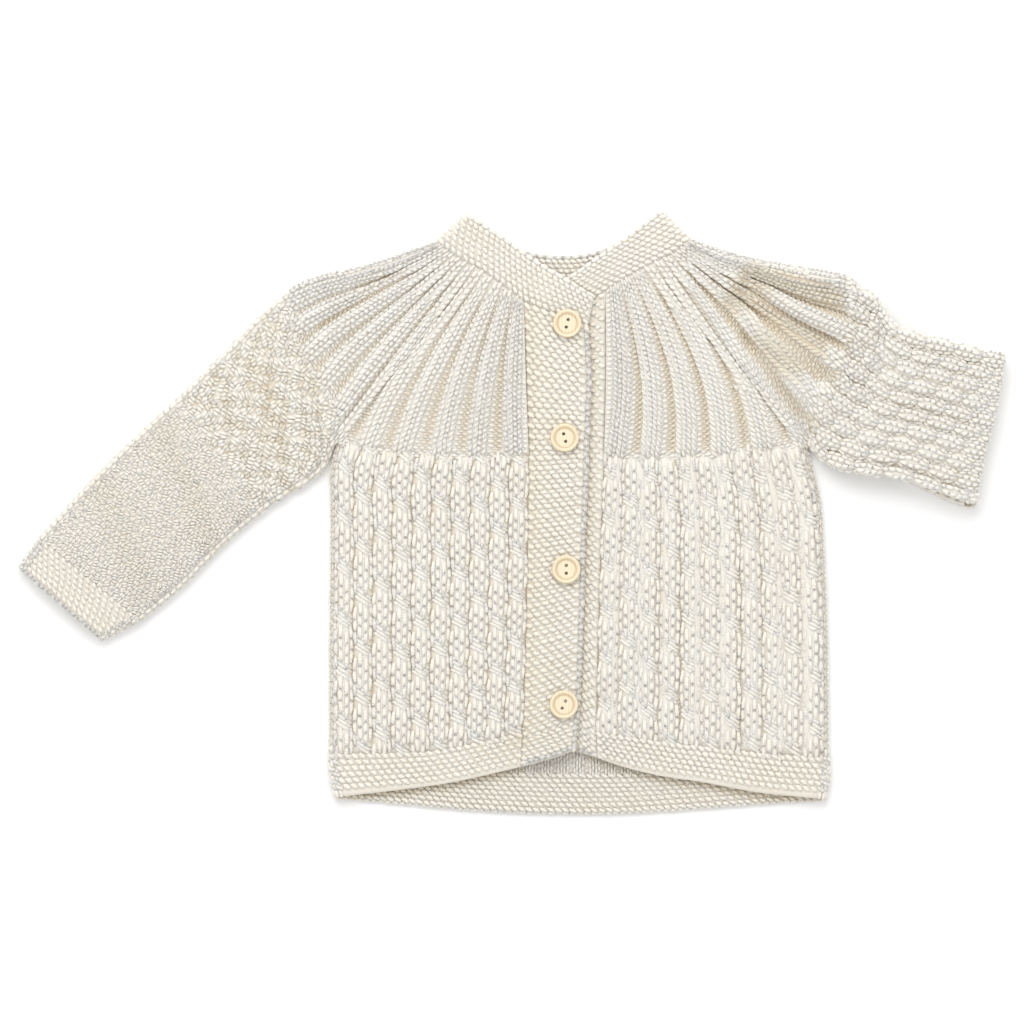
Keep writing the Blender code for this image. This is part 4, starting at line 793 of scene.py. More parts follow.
def neckband_layer():
    """The neckband as one strip, folded over at both shoulders; a runs from the yoke to its free edge."""
    rise, part = band_rise(), (PANEL_COLUMNS + 1) * FINE
    back_part = YOKE_BACK_COLUMNS // 2 * FINE
    parts = (  # its seam, its free edge, its steps, how far both are cut back at their ends, and its height
        (OVER_BAND_TOP[::-1], NECKBAND_OVER, len(rise) - 1, 0.0, 0.0, rise[::-1]),
        (NECK_RIGHT, NECKBAND_RIGHT, part, 0.0, TURN, FRONT_Z),
        (NECK_BACK, NECKBAND_BACK, back_part, TURN, TURN, BACK_Z),
        (NECK_LEFT[::-1], NECKBAND_LEFT, part, TURN, 0.0, FRONT_Z),
        (UNDER_BAND_TOP[::-1], NECKBAND_UNDER, UNDER_BAND_STEPS, 0.0, 0.0, FRONT_Z),
    )
    radius, middle = (FRONT_Z - BACK_Z) / 2, (FRONT_Z + BACK_Z) / 2
    lines, away = [], []
    for k, (outer, inner, steps, start, end, height) in enumerate(parts):
        edges = [seam(table, steps, start, end) for table in (outer, inner)]
        z = np.broadcast_to(height, (steps + 1,))
        flat = np.stack([np.column_stack([edge[0], z]) for edge in edges], axis=1)
        flat = flat[1:] if k in (1, 4) else flat
        lines.append(flat)
        away.append(np.zeros_like(flat) + (0.0, 0.0, -1.0 if k == 2 else 1.0))
        if k in (1, 2):
            for turn in np.linspace(0, pi, 2 * ROLL + 1)[1:-1]:
                ring, ring_away = [], []
                for edge in edges:
                    point, direction = finish_of(edge)
                    level = cos(turn) * (1 if k == 1 else -1)
                    ring.append((*(point + direction * radius * sin(turn)), middle + radius * level))
                    ring_away.append((*(direction * sin(turn)), level))
                lines.append(np.array(ring)[None])
                away.append(np.array(ring_away)[None])
    lines, away = np.concatenate(lines), np.concatenate(away)
    run = np.linalg.norm(np.diff(lines.mean(axis=1), axis=0), axis=1)
    b = np.concatenate([[0], np.cumsum(np.maximum(run, 0.05))])
    share = np.linspace(0, 1, 7)[None, :, None]
    points = lines[:, :1] * (1 - share) + lines[:, 1:] * share
    normal = unit(away[:, :1] * (1 - share) + away[:, 1:] * share)
    return Layer(points, normal, share[0, :, 0], b / b[-1])


# ---------------------------------------------------------------- shells


def mesh_object(name, points, polygons, material, bake, painted_shade, yarn=None):
    """A smooth-shaded object from points in millimetres and arrays of faces."""
    mesh = bpy.data.meshes.new(name)
    mesh.vertices.add(len(points))
    mesh.vertices.foreach_set("co", (np.asarray(points) * MM).astype(np.float32).ravel())
    sizes = np.concatenate([np.full(len(p), p.shape[1]) for p in polygons])
    corners = np.concatenate([p.ravel() for p in polygons])
    mesh.loops.add(len(corners))
    mesh.loops.foreach_set("vertex_index", corners.astype(np.int32))
    mesh.polygons.add(len(sizes))
    mesh.polygons.foreach_set("loop_start", np.concatenate([[0], np.cumsum(sizes)[:-1]]).astype(np.int32))
    mesh.update(calc_edges=True)
    mesh.shade_smooth()
    for label, values in (("OFBake", bake), ("yarn", yarn)):
        if values is not None:
            mesh.uv_layers.new(name=label).data.foreach_set("uv", values[corners].astype(np.float32).ravel())
    mesh.attributes.new("painted_shade", "FLOAT", "POINT").data.foreach_set("value", painted_shade.astype(np.float32))
    mesh.materials.append(material)
    made = bpy.data.objects.new(name, mesh)
    bpy.context.scene.collection.objects.link(made)
    return made


def grid_quads(rows, columns, start=0):
    """Faces of a grid of points that are numbered row by row from start."""
    index = np.arange(rows * columns).reshape(rows, columns) + start
    quads = np.stack([index[:-1, :-1], index[:-1, 1:], index[1:, 1:], index[1:, :-1]], axis=-1)
    return quads.reshape(-1, 4)


def thin(values, step):
    """Every few of the entries, with the first and the last."""
    return np.unique(np.concatenate([np.arange(0, len(values), step), [len(values) - 1]]))


def away_from(points, line):
    """Distances in plan from points to a line."""
    nearest = np.full(points.shape[:-1], 1e3)
    for start, end in zip(np.array(line[:-1], float), np.array(line[1:], float)):
        share = ((points[..., :2] - start) @ (end - start)) / ((end - start) @ (end - start))
        foot = start + np.clip(share, 0, 1)[..., None] * (end - start)
        nearest = np.minimum(nearest, np.linalg.norm(points[..., :2] - foot, axis=-1))
    return nearest


HOLLOW_FROM, HOLLOW_SPAN = -0.5, 2.2  # the depths between which the painted shade on the wool deepens
CREASE_SHADE = 0.8  # how much of a crease's depth counts for the painted shade


def painted_shade_of(points, low):
    """How much painted shade a point gets: 0 on high ground, 1 in the deepest hollows and in the shade of a
    lap.
    """
    depth = low + CREASE_SHADE * creased(points[..., :2])
    for line, width, shade, top in SHADES:
        depth = depth + shade * np.exp(-((away_from(points, line) / width) ** 2)) * (points[..., 2] < top)
    return smooth((depth - HOLLOW_FROM) / HOLLOW_SPAN)


def shell(name, pieces, material, outer, inner, step):
    """A thin closed shell about each layer, from inner behind its middle to outer in front of it."""
    points, quads, uvs, painted_shades, count = [], [], [], [], 0
    for k, piece in enumerate(pieces):
        rows, columns = thin(piece.b, step), thin(piece.a, step)
        grid = piece.points[np.ix_(rows, columns)]
        normal = piece.normal[np.ix_(rows, columns)]
        r, c = len(rows), len(columns)
        sides = np.concatenate([grid + normal * outer, grid - normal * inner]).reshape(-1, 3)
        index = np.arange(r * c).reshape(r, c)
        rim = np.concatenate([index[0, :-1], index[:-1, -1], index[-1, :0:-1], index[:0:-1, 0]])
        after = np.roll(rim, -1)
        walls = np.stack([rim, rim + r * c, after + r * c, after], axis=-1)
        made = np.concatenate([grid_quads(r, c), grid_quads(r, c, r * c)[:, ::-1], walls])
        quads.append((made if piece.hand > 0 else made[:, ::-1]) + count)
        low, high = grid.reshape(-1, 3)[:, :2].min(0), grid.reshape(-1, 3)[:, :2].max(0)
        uv = (sides[:, :2] - low) / (high - low) * (0.48 / len(pieces), 0.98)
        uv[:, 0] += (k + 0.5 * (np.arange(len(sides)) >= r * c)) / len(pieces)
        points.append(sides)
        uvs.append(uv)
        # Painted shade in hollows, creases and laps, only on the sides of the shell that face up.
        painted_shade, facing = painted_shade_of(grid, piece.low[np.ix_(rows, columns)]).ravel(), normal[..., 2].ravel()
        painted_shades.append(np.concatenate([painted_shade * (facing > -0.5), painted_shade * (facing < 0.5)]))
        count += len(sides)
    every = [np.concatenate(v) for v in (points, quads, uvs, painted_shades)]
    return mesh_object(name, every[0], [every[1]], material, every[2], every[3])


# ---------------------------------------------------------------- yarn


SIDE_SHADE = 0.46  # painted shade: how tan a strand is painted underneath
TIP_SHADE = 0.5  # painted shade: how tan it is painted at its tips
UNEVEN = (0.93, 1.07)  # least and most share of its radius
SHAKE = 0.1  # how far it lies beside its place
REST = 0.03  # strands that the garment lies on are pressed flat at this height


class Yarn:
    """The strands of one piece's stitches, gathered into one mesh of closed tapering strands."""

    STEPS = {2: (0, 0.24, 0.76, 1), 3: (0, 0.13, 0.5, 0.87, 1)}  # where a strand's rings are, by their number

    def __init__(self, sides, rings=3):
        self.sides, self.rings = sides, rings
        self.points, self.local, self.painted_shade = [], [], []

    def add(self, piece, centre, start, end, radius=0.8, base=0.55, lift=0.15, sink=0.4, bend=0.0, taper=3.2):
        """Strands at centre (a, b), with their ends start and end millimetres from it, across and along.

        They lie base in front of the layer, lift more in their middles and sink less at their tips. bend
        makes an S of them, and more taper makes them blunter.
        """
        centre = np.asarray(centre, float).reshape(-1, 2)
        count = len(centre)
        if not count:
            return
        start, end = (np.broadcast_to(np.asarray(v, float), (count, 2)) for v in (start, end))
        radius, base, lift, sink = (
            np.broadcast_to(np.asarray(v, float), (count,))[:, None] for v in (radius, base, lift, sink)
        )
        radius = radius * random.uniform(*UNEVEN, (count, 1))
        shake = random.normal(0, SHAKE, (count, 2))
        s = np.array(self.STEPS[self.rings])[None]
        arch = 1 - (2 * s - 1) ** 2
        at, _, reach, low = piece.at(centre[:, 0], centre[:, 1])
        share = np.stack([s + bend * (smooth(s) - s), s + 0 * bend], axis=-1)
        offset = start[:, None] + (end - start)[:, None] * share + shake[:, None]
        where = centre[:, None] + offset / reach[:, None]
        p, n, _, _ = piece.at(where[..., 0], where[..., 1])
        line = p + n * (base + lift * arch - sink * (1 - arch) ** 3)[..., None]
        along = unit(np.gradient(line, axis=1))
        side = unit(np.cross(n, along))
        up = np.cross(along, side)
        turn = (np.arange(self.sides) / self.sides * 2 - 0.5) * pi
        size = radius * np.sqrt(1 - np.abs(2 * s - 1) ** taper)
        ring = side[:, 1:-1, None] * np.cos(turn)[:, None] + up[:, 1:-1, None] * np.sin(turn)[:, None]
        ring = (line[:, 1:-1, None] + ring * size[:, 1:-1, None, None]).reshape(count, -1, 3)
        self.points.append(np.concatenate([line[:, :1], ring, line[:, -1:]], axis=1).reshape(-1, 3))
        # Painted shade: darker in hollows, creases and laps, and tan on each strand's underside and tips,
        # where the layer faces up.
        painted_shade = (painted_shade_of(at, low) * (n[:, 0, 2] > -0.5))[:, None]
        flank = np.tile(SIDE_SHADE * np.sqrt((1 - np.sin(turn)) / 2), self.rings)
        flank = np.concatenate([[TIP_SHADE], flank, [TIP_SHADE]]) * np.clip(n[:, :1, 2] * 1.4, 0, 1)
        self.painted_shade.append((painted_shade + flank * (1 - painted_shade)).ravel())
        length = np.linalg.norm(line[:, -1] - line[:, 0], axis=1)[:, None]
        u = np.repeat(s[:, 1:-1], self.sides, axis=1) * length
        u = np.concatenate([np.zeros((count, 1)), u, length], axis=1) + random.uniform(0, 9, (count, 1))
        v = np.tile(np.arange(self.sides) / self.sides, self.rings)
        v = np.broadcast_to(np.concatenate([[0.5], v, [0.5]]), u.shape)
        self.local.append(np.stack([u, v], axis=2).reshape(-1, 2))

    def mesh(self, name, material):
        points, local = np.concatenate(self.points), np.concatenate(self.local)
        each = self.sides * self.rings + 2
        first = np.arange(len(points) // each)[:, None] * each
        j, last = np.arange(self.sides), each - 1
        after = (j + 1) % self.sides
        start = np.stack([0 * j, 1 + after, 1 + j], axis=1)
        end = np.stack([0 * j + last, last - self.sides + j, last - self.sides + after], axis=1)
        rings = [
            np.stack([k + j, k + after, k + self.sides + after, k + self.sides + j], axis=1)
            for k in 1 + self.sides * np.arange(self.rings - 1)
        ]
        tips = (first[..., None] + np.concatenate([start, end])).reshape(-1, 3)
        quads = (first[..., None] + np.concatenate(rings)).reshape(-1, 4)
        points[:, 2] = np.maximum(points[:, 2], REST)
        low, high = points[:, :2].min(0), points[:, :2].max(0)
        bake = (points[:, :2] - low) / (high - low)
        return mesh_object(name, points, [tips, quads], material, bake, np.concatenate(self.painted_shade), local)


def field(piece, across, along, a, b, drop=0.0, side_drop=0.0):
    """Centres of the cells of a grid on a layer, with their columns and rows.

    The cells are about across by along millimetres, and fill the given spans of a and b. Odd rows are
    moved across by drop of a cell, and odd columns along by side_drop of one.
    """
    columns = max(1, round((a[1] - a[0]) * piece.size[0] / across))
    rows = max(1, round((b[1] - b[0]) * piece.size[1] / along))
    c, r = np.meshgrid(np.arange(columns), np.arange(rows))
    centre_a = a[0] + (c + 0.5 + r % 2 * drop) / columns * (a[1] - a[0])
    centre_b = b[0] + (r + 0.5 + c % 2 * side_drop) / rows * (b[1] - b[0])
    keep = ((centre_a < a[1]) & (centre_b < b[1])).ravel()
    return np.stack([centre_a, centre_b], axis=-1).reshape(-1, 2)[keep], c.ravel()[keep], r.ravel()[keep]


def span(piece):
    """From edge to edge of a layer, with the edges that turn."""
    return (piece.a[0], piece.a[-1])


LEAN = radians(30)  # how far the bumps of garter stitch lean from their ridge


def garter(
    yarn, piece, ridge=2.5, stitch=3.7, a=None, b=None, along_b=False, radius=1.15, base=0.45, lean=LEAN,
    reach=0.58, furrow=0.0,
):
    """Ridges of garter stitch across the layer, or along it, every second one lower by the furrow."""
    a, b = a or span(piece), b or (piece.b[0], piece.b[-1])
    slant = piece.hand * np.sin(lean)
    if along_b:
        centre, sunk, _ = field(piece, ridge, stitch, a, b, side_drop=0.5)
        half = np.array((slant, np.cos(lean))) * stitch * reach
    else:
        centre, _, sunk = field(piece, stitch, ridge, a, b, drop=0.5)
        half = np.array((np.cos(lean), -slant)) * stitch * reach
    wobble = random.normal(0, 0.12, (len(centre), 2))
    yarn.add(piece, centre, -half - wobble, half + wobble, radius, base - furrow * (sunk % 2), 0.2)


COLUMN_PITCH = 10.0  # width of a column of cables on the fronts


def cables(
    yarn, piece, pitch=COLUMN_PITCH, repeat=24.5, cross=0.33, puff=0.1, row=2.45, a=(0.0, 1.0), b=(0.0, 1.0),
    radius=1.1, base=0.45, phase=0.0, loose=0.0, leg=2.0, bulge=((0.74, 1.0), (0.27, 0.36)),
):
    """Columns of cable stitch: upright legs that bow apart, then slanting strands that cross, half dropped.

    cross is the share of a repeat that crosses, leg the rows to one strand of a leg, loose how unevenly
    the columns start, and bulge how far out the outer and the inner legs are at their ends and between.
    """
    columns = max(1, round((a[1] - a[0]) * piece.size[0] / pitch))
    wide = (a[1] - a[0]) * piece.size[0] / columns
    length = (b[1] - b[0]) * piece.size[1]
    half = wide * 0.41
    leg_count = max(2, round(repeat * (1 - cross) / row / leg))
    cross_count = max(2, round(repeat * cross / row * 1.3))
    # Rows of a and millimetres down, then a leg's place between two crossings and its share of the way.
    legs, crossing = [], []
    for c in range(columns):
        middle = a[0] + (c + 0.5) / columns * (a[1] - a[0])
        start = (phase + (c % 2) * 0.5) * repeat - repeat + random.normal(0, loose)
        for p in range(int(np.ceil(length / repeat)) + 2):
            top = start + p * repeat
            for i in range(leg_count):
                place = top + (i + 0.5) / leg_count * repeat * (1 - cross)
                legs.append((middle, place, i / leg_count, 1 / leg_count))
            for i in range(cross_count):
                place = top + repeat * (1 - cross) + (i + 0.5) / cross_count * repeat * cross
                crossing.append((middle, place))
    rows = round(length / row)
    edges = a[0] + np.arange(0, columns + 1) / columns * (a[1] - a[0])
    low = np.array([(e, b[0] + (r + 0.5) / rows * (b[1] - b[0])) for e in edges for r in range(rows)])
    low = low[(low[:, 0] >= span(piece)[0]) & (low[:, 0] <= span(piece)[1])]
    yarn.add(piece, low, (-1.0, 0.4), (1.0, -0.4), 0.75, base - 0.35, 0.3, sink=0.2)
    legs, crossing = (np.array(v) for v in (legs, crossing))
    legs, crossing = (v[(v[:, 1] > 0) & (v[:, 1] < length)] for v in (legs, crossing))
    size = repeat * (1 - cross) / leg_count
    for sign, (near, far), later in (
        (-1, bulge[0], 0), (-1, bulge[1], 0.5), (1, bulge[1], 0), (1, bulge[0], 0.5)
    ):
        def out(t):
            return sign * half * (near + (far - near) * np.sin(np.clip(t, 0, 1) * pi) ** 0.7)

        centre = np.stack([legs[:, 0], b[0] + (legs[:, 1] + later * size) / piece.size[1]], axis=1)
        middle = legs[:, 2] + (0.5 + later) * legs[:, 3]
        tilt = 0.15 * (1 if far < 0.5 else -1) * sign
        start = np.stack([out(middle - 0.8 * legs[:, 3]) + tilt, np.full(len(legs), -0.8 * size)], axis=1)
        end = np.stack([out(middle + 0.8 * legs[:, 3]) - tilt, np.full(len(legs), 0.8 * size)], axis=1)
        yarn.add(piece, centre, start, end, radius * 1.15, base, 0.1, sink=0.15, taper=3.0)
    centre = np.stack([crossing[:, 0], b[0] + crossing[:, 1] / piece.size[1]], axis=1)
    across = -piece.hand * half * (0.98 if cross > 0.2 else 0.5)
    ends = (-across, -row * 1.35), (across, row * 1.35)
    yarn.add(piece, centre, *ends, radius * 1.05, base - 0.1, puff, sink=0.3, bend=0.8)


FAN_ROW = 2.9  # height of a row of the yoke


def fan(yarn, piece, table, b=(0.0, 1.0), stitch=3.3, base=0.5, edges=(False, True)):
    """Ribs of two knit stitches that spread from the neck, with purl stitches between them.

    edges says whether the cloth is knit stitches from its first and from its last rib to its edge.
    """
    rows = round((b[1] - b[0]) * piece.size[1] / FAN_ROW)
    later = 0.5 * FAN_ROW / piece.size[1]
    # Rows of a and b, then the offset, width and side of a leg, or the width and depth of a purl stitch.
    knit, purl = [], []
    first, last = span(piece)
    for r in range(rows):
        at = b[0] + (r + 0.5) / rows * (b[1] - b[0])
        middle = rib_lines(table, min(at, 1.0))
        reach = piece.at(middle, np.full(len(middle), at))[2][:, 0]
        gap = np.diff(middle)
        room = np.minimum(np.append(gap, gap[-1]), np.insert(gap, 0, gap[0])) * reach
        half = np.clip(room * 0.36, 1.2, 4.2)
        for m, reaches in zip(middle, half):
            wide = reaches > 2.3
            offsets = (-0.78, -0.27, 0.27, 0.78) if wide else (-0.5, 0.5)
            size = reaches * (0.52 if wide else 1.0)
            knit += [(m, at + i % 2 * later, o * reaches, size, i % 2) for i, o in enumerate(offsets)]
        flank = np.stack([middle - half / reach, middle + half / reach], axis=1)
        gaps = [(first, flank[0, 0]), *zip(flank[:-1, 1], flank[1:, 0]), (flank[-1, 1], last)]
        for k, (low, high) in enumerate(gaps):
            width = (high - low) * reach.mean()
            if width < 0.9:
                continue
            if (k == 0 and edges[0]) or (k == len(gaps) - 1 and edges[1]):
                count = max(1, round(width / 2.0))
                knit += [(low + (i + 0.5) / count * (high - low), at, 0.0, 1.8, i % 2) for i in range(count)]
                continue
            count = max(1, round(width / stitch))
            each = width / count
            purl += [(low + (i + 0.5) / count * (high - low), at, each, 0.0) for i in range(count)]
            purl += [(low + i / count * (high - low), at + later, each, 1.0) for i in range(count + 1)]
    knit, purl = (np.array(v) for v in (knit, purl))
    knit, purl = (v[(v[:, 0] > first) & (v[:, 0] < last)] for v in (knit, purl))
    turn = (knit[:, 4] - 0.5) * 0.22 * knit[:, 3]
    start = np.stack([knit[:, 2] + turn, np.full(len(knit), -0.9 * FAN_ROW)], axis=1)
    end = np.stack([knit[:, 2] - turn, np.full(len(knit), 0.9 * FAN_ROW)], axis=1)
    size = np.clip(knit[:, 3] * 0.6, 0.5, 1.1)
    yarn.add(piece, knit[:, :2], start, end, size, base + 0.1, 0.12, sink=0.3, taper=2.6)
    half = purl[:, 2] * 0.56
    start = np.stack([-half, 0.42 * np.ones(len(purl))], axis=1)
    size = np.clip(half * 0.62, 0.5, 0.86)
    yarn.add(piece, purl[:, :2], start, -start, size, base - 0.3 - 0.25 * purl[:, 3], 0.35, sink=0.3)


def moss(
    yarn, piece, width=3.7, row=2.7, block=1, a=(0.0, 1.0), b=(0.0, 1.0), rough=0.25, lift=0.25, radius=1.05,
    base=0.45, dense=True, lean=0.0,
):
    """Moss stitch: knit and purl stitches that change places like the squares of a chessboard.

    The squares are block stitches wide. rough is how unevenly the stitches turn, and lean how far the
    purl ones do, which are two strands each if dense.
    """
    centre, c, r = field(piece, width, row, a, b, drop=0.5)
    centre = centre + random.normal(0, 0.1, centre.shape) * (width, row) / piece.size
    odd = ((c // block + r // block) % 2).astype(bool)
    turn = random.normal(0, rough, len(centre))
    pick, t = centre[~odd], turn[~odd]
    for sign in (-1, 1):
        x, y = 0.16 * width * sign, 0.62 * row
        start = np.stack([x * 1.5 * np.cos(t) + y * np.sin(t), x * np.sin(t) - y * np.cos(t)], axis=1)
        end = np.stack([x * np.cos(t) - y * np.sin(t), x * np.sin(t) + y * np.cos(t)], axis=1)
        yarn.add(piece, pick, start, end, radius, base, lift)
    pick, t = centre[odd], turn[odd] + lean
    half = np.stack([np.cos(t), np.sin(t)], axis=1) * width * 0.55
    away = np.stack([-np.sin(t), np.cos(t)], axis=1) * row * 0.26
    for sign in (-1, 1) if dense else (0,):
        size = radius * (0.8 if dense else 1)
        yarn.add(piece, pick, sign * away - half, sign * away + half, size, base + 0.1, lift + 0.15, sink=0.5)


def rim(yarn, piece, ends=(1,)):
    """Strands side by side along the edges that turn, at the start or at the end of a."""
    for end in ends:
        edge, level = (piece.a[-1], 1.0) if end else (piece.a[0], 0.0)
        level -= 1.0 / piece.size[0] * np.sign(edge - level)
        count = max(3, round(abs(edge - level) * piece.size[0] / 1.6))
        for k in range(count):
            line = [(level + k / (count - 1) * (edge - level), b) for b in piece.b]
            chain(yarn, piece, line, radius=1.1, link=3.8 * (1 + 0.05 * k), base=0.3)


LONG_LINK = 4.9


def chain(yarn, piece, line, radius=1.2, link=3.0, base=0.0):
    """A smooth edge of overlapping links along a line of (a, b), two deep where they are long."""
    line = np.array(line, float)
    p = piece.at(line[:, 0], line[:, 1])[0]
    run = np.concatenate([[0], np.cumsum(np.linalg.norm(np.diff(p, axis=0), axis=1))])
    count = max(1, round(run[-1] / link))
    at = np.linspace(0, run[-1], 2 * count + 1)
    a, b = np.interp(at, run, line[:, 0]), np.interp(at, run, line[:, 1])
    centre = np.stack([a[1::2], b[1::2]], axis=1)
    reach = piece.at(centre[:, 0], centre[:, 1])[2]
    half = (np.stack([a[2::2], b[2::2]], axis=1) - centre) * reach * 1.35
    yarn.add(piece, centre, -half, half, radius, base, 0.1, sink=0.25)
    if link > LONG_LINK:
        between = np.stack([a[2:-1:2], b[2:-1:2]], axis=1)
        yarn.add(piece, between, -half[1:], half[1:], radius, base, 0.1, sink=0.25)


# ---------------------------------------------------------------- materials


def nodes_of(name, colour, roughness):
    """A new material with its node tree and its shader."""
    made = bpy.data.materials.new(name)
    made.use_nodes = True
    tree = made.node_tree
    shader = tree.nodes["Principled BSDF"]
    shader.inputs["Base Color"].default_value = (*colour, 1)
    shader.inputs["Roughness"].default_value = roughness
    return made, tree, shader


def add_node(tree, kind, **values):
    """A new node, with values for its inputs or for its own settings."""
    made = tree.nodes.new(kind)
    for key, value in values.items():
        if key in made.inputs:
            made.inputs[key].default_value = value
        else:
            setattr(made, key, value)
    return made


def mix_colour(tree, factor, first, second):
    """The colour between first and second, each a colour or a socket, at a socket's factor."""
    mix = tree.nodes.new("ShaderNodeMix")
    mix.data_type = "RGBA"
    tree.links.new(factor, mix.inputs["Factor"])
    for socket, value in (("A", first), ("B", second)):
        target = [i for i in mix.inputs if i.name == socket and i.type == "RGBA"][0]
        if isinstance(value, tuple):
            target.default_value = (*value, 1)
        else:
            tree.links.new(value, target)
    return [o for o in mix.outputs if o.type == "RGBA"][0]


def wool_material(name, light, shade, deep, strand=True):
    """Ivory wool: soft mottling between light and shade, painted shade to deep, a plied strand and loose
    fibres.
    """
    made, tree, shader = nodes_of(name, light, 0.88)
    shader.inputs["Sheen Weight"].default_value = 0.15
    shader.inputs["Sheen Roughness"].default_value = 0.5
    shader.inputs["Specular IOR Level"].default_value = 0.2
    shader.inputs["Subsurface Weight"].default_value = 0.6
    shader.inputs["Subsurface Radius"].default_value = (1.0, 0.94, 0.84)
    shader.inputs["Subsurface Scale"].default_value = 0.0022
    place = add_node(tree, "ShaderNodeTexCoord")
    mottle = add_node(tree, "ShaderNodeTexNoise", Scale=70.0, Detail=3.0)
    tree.links.new(place.outputs["Object"], mottle.inputs["Vector"])
    level = add_node(tree, "ShaderNodeMapRange")
    level.inputs["From Min"].default_value, level.inputs["From Max"].default_value = 0.35, 0.7
    tree.links.new(mottle.outputs["Fac"], level.inputs["Value"])
    colour = mix_colour(tree, level.outputs["Result"], light, shade)
    # Painted shade: the colour darkens towards deep where the painted_shade attribute is high.
    painted_shade = add_node(tree, "ShaderNodeAttribute", attribute_name="painted_shade")
    tree.links.new(mix_colour(tree, painted_shade.outputs["Fac"], colour, deep), shader.inputs["Base Color"])
    fibre = add_node(tree, "ShaderNodeTexNoise", Scale=2600.0, Detail=2.0)
    tree.links.new(place.outputs["Object"], fibre.inputs["Vector"])
    bump = add_node(tree, "ShaderNodeBump", Strength=0.35, Distance=0.0002)
    tree.links.new(fibre.outputs["Fac"], bump.inputs["Height"])
    if strand:
        lie = add_node(tree, "ShaderNodeUVMap", uv_map="yarn")
        ply = add_node(tree, "ShaderNodeTexWave", Scale=0.5, Distortion=0.6)
        ply.wave_type, ply.bands_direction = "BANDS", "DIAGONAL"
        stretch = add_node(tree, "ShaderNodeMapping")
        stretch.inputs["Scale"].default_value = (0.8, 2.0, 1.0)
        tree.links.new(lie.outputs["UV"], stretch.inputs["Vector"])
        tree.links.new(stretch.outputs["Vector"], ply.inputs["Vector"])
        twist = add_node(tree, "ShaderNodeBump", Strength=0.5, Distance=0.0003)
        tree.links.new(ply.outputs["Fac"], twist.inputs["Height"])
        tree.links.new(bump.outputs["Normal"], twist.inputs["Normal"])
        tree.links.new(twist.outputs["Normal"], shader.inputs["Normal"])
    else:
        tree.links.new(bump.outputs["Normal"], shader.inputs["Normal"])
    return made


PAINTED_SHADE_TAN = (0.745, 0.66, 0.53)  # painted shade: the wool's colour where shade falls, in its hollows and laps and under its strands
wool = wool_material("ivory_wool_yarn", (0.905, 0.866, 0.788), (0.885, 0.836, 0.747), PAINTED_SHADE_TAN)
# The shell seen in the gaps between strands: the same wool painted darker as painted shade, and deeper still
# as painted shade in hollows and laps.
ground = wool_material(
    "ivory_wool_ground", (0.853, 0.808, 0.73), (0.81, 0.757, 0.665), (0.66, 0.555, 0.415), strand=False
)


BUTTON_REACH = 8.0  # distance from a button's middle that is 1 in its rings of painted shade


def wood_material(name, x, y):
    """Pale turned wood, with its grain, and painted shade in a darker ring inside the rim and a darker outer
    edge, about the button's middle.
    """
    made, tree, shader = nodes_of(name, (0.80, 0.66, 0.44), 0.42)
    place = add_node(tree, "ShaderNodeTexCoord")
    centred = add_node(tree, "ShaderNodeMapping")
    centred.inputs["Location"].default_value = (-x * MM, -y * MM, 0)
    centred.inputs["Scale"].default_value = (1, 1, 0)
    tree.links.new(place.outputs["Object"], centred.inputs["Vector"])
    grain = add_node(tree, "ShaderNodeTexWave", Scale=190.0, Distortion=3.5, Detail=2.0)
    tree.links.new(centred.outputs["Vector"], grain.inputs["Vector"])
    wood = mix_colour(tree, grain.outputs["Fac"], (0.87, 0.77, 0.58), (0.81, 0.68, 0.47))
    away = tree.nodes.new("ShaderNodeVectorMath")
    away.operation = "LENGTH"
    tree.links.new(centred.outputs["Vector"], away.inputs[0])
    rings = tree.nodes.new("ShaderNodeValToRGB")
    scaled = tree.nodes.new("ShaderNodeMath")
    scaled.operation = "MULTIPLY"
    scaled.inputs[1].default_value = 1 / (BUTTON_REACH * MM)
    tree.links.new(away.outputs["Value"], scaled.inputs[0])
    tree.links.new(scaled.outputs["Value"], rings.inputs["Fac"])
    stops = rings.color_ramp.elements
    stops[0].position, stops[0].color = 0.50, (0, 0, 0, 1)
    stops[1].position, stops[1].color = 0.63, (0.75, 0.75, 0.75, 1)
    for position, level in ((0.72, 0.0), (0.84, 0.0), (0.92, 0.85)):
        stops.new(position).color = (level, level, level, 1)
    # Painted shade: a darker ring inside the rim and a darker outer edge.
    darker = mix_colour(tree, rings.outputs["Color"], wood, (0.50, 0.34, 0.17))
    tree.links.new(darker, shader.inputs["Base Color"])
    return made


# The buttons and their middles.
BUTTONS = (
    ("button_1", 28.1, 94.0),
    ("button_2", 26.8, 36.9),
    ("button_3", 27.6, -28.9),
    ("button_4", 26.4, -96.4),
)
for node, x, y in BUTTONS:
    bpy.data.objects[node].data.materials.clear()
    bpy.data.objects[node].data.materials.append(wood_material("pale_wood_" + node[-1], x, y))

# ---------------------------------------------------------------- the cardigan


def cloth_piece(node, layers, yarn, step=2, inner=0.7, outer=0.6):
    """Builds a node's shell and its stitches, attaches both to the root body and hides the node's CAD part.
    """
    body = shell("cloth_" + node, layers, ground, outer, inner, step)
    stitches = yarn.mesh("knit_" + node, wool)
    for made in (body, stitches):
        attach(made, "root")
    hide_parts(node)


layers = body_layers()
for side in ("right", "left"):
    layers["yoke_" + side] = yoke_front(side)
layers["yoke_back"] = yoke_back_layer()
right_sleeve = sleeve_right_layers()
left_top, left_low, left_cuff, forearm, forearm_top = sleeve_left_layers()
over_band, under_band = band_layers()
neck = neckband_layer()


COLUMN_RELIEF, COLUMN_FLAT = 1.05, 0.26


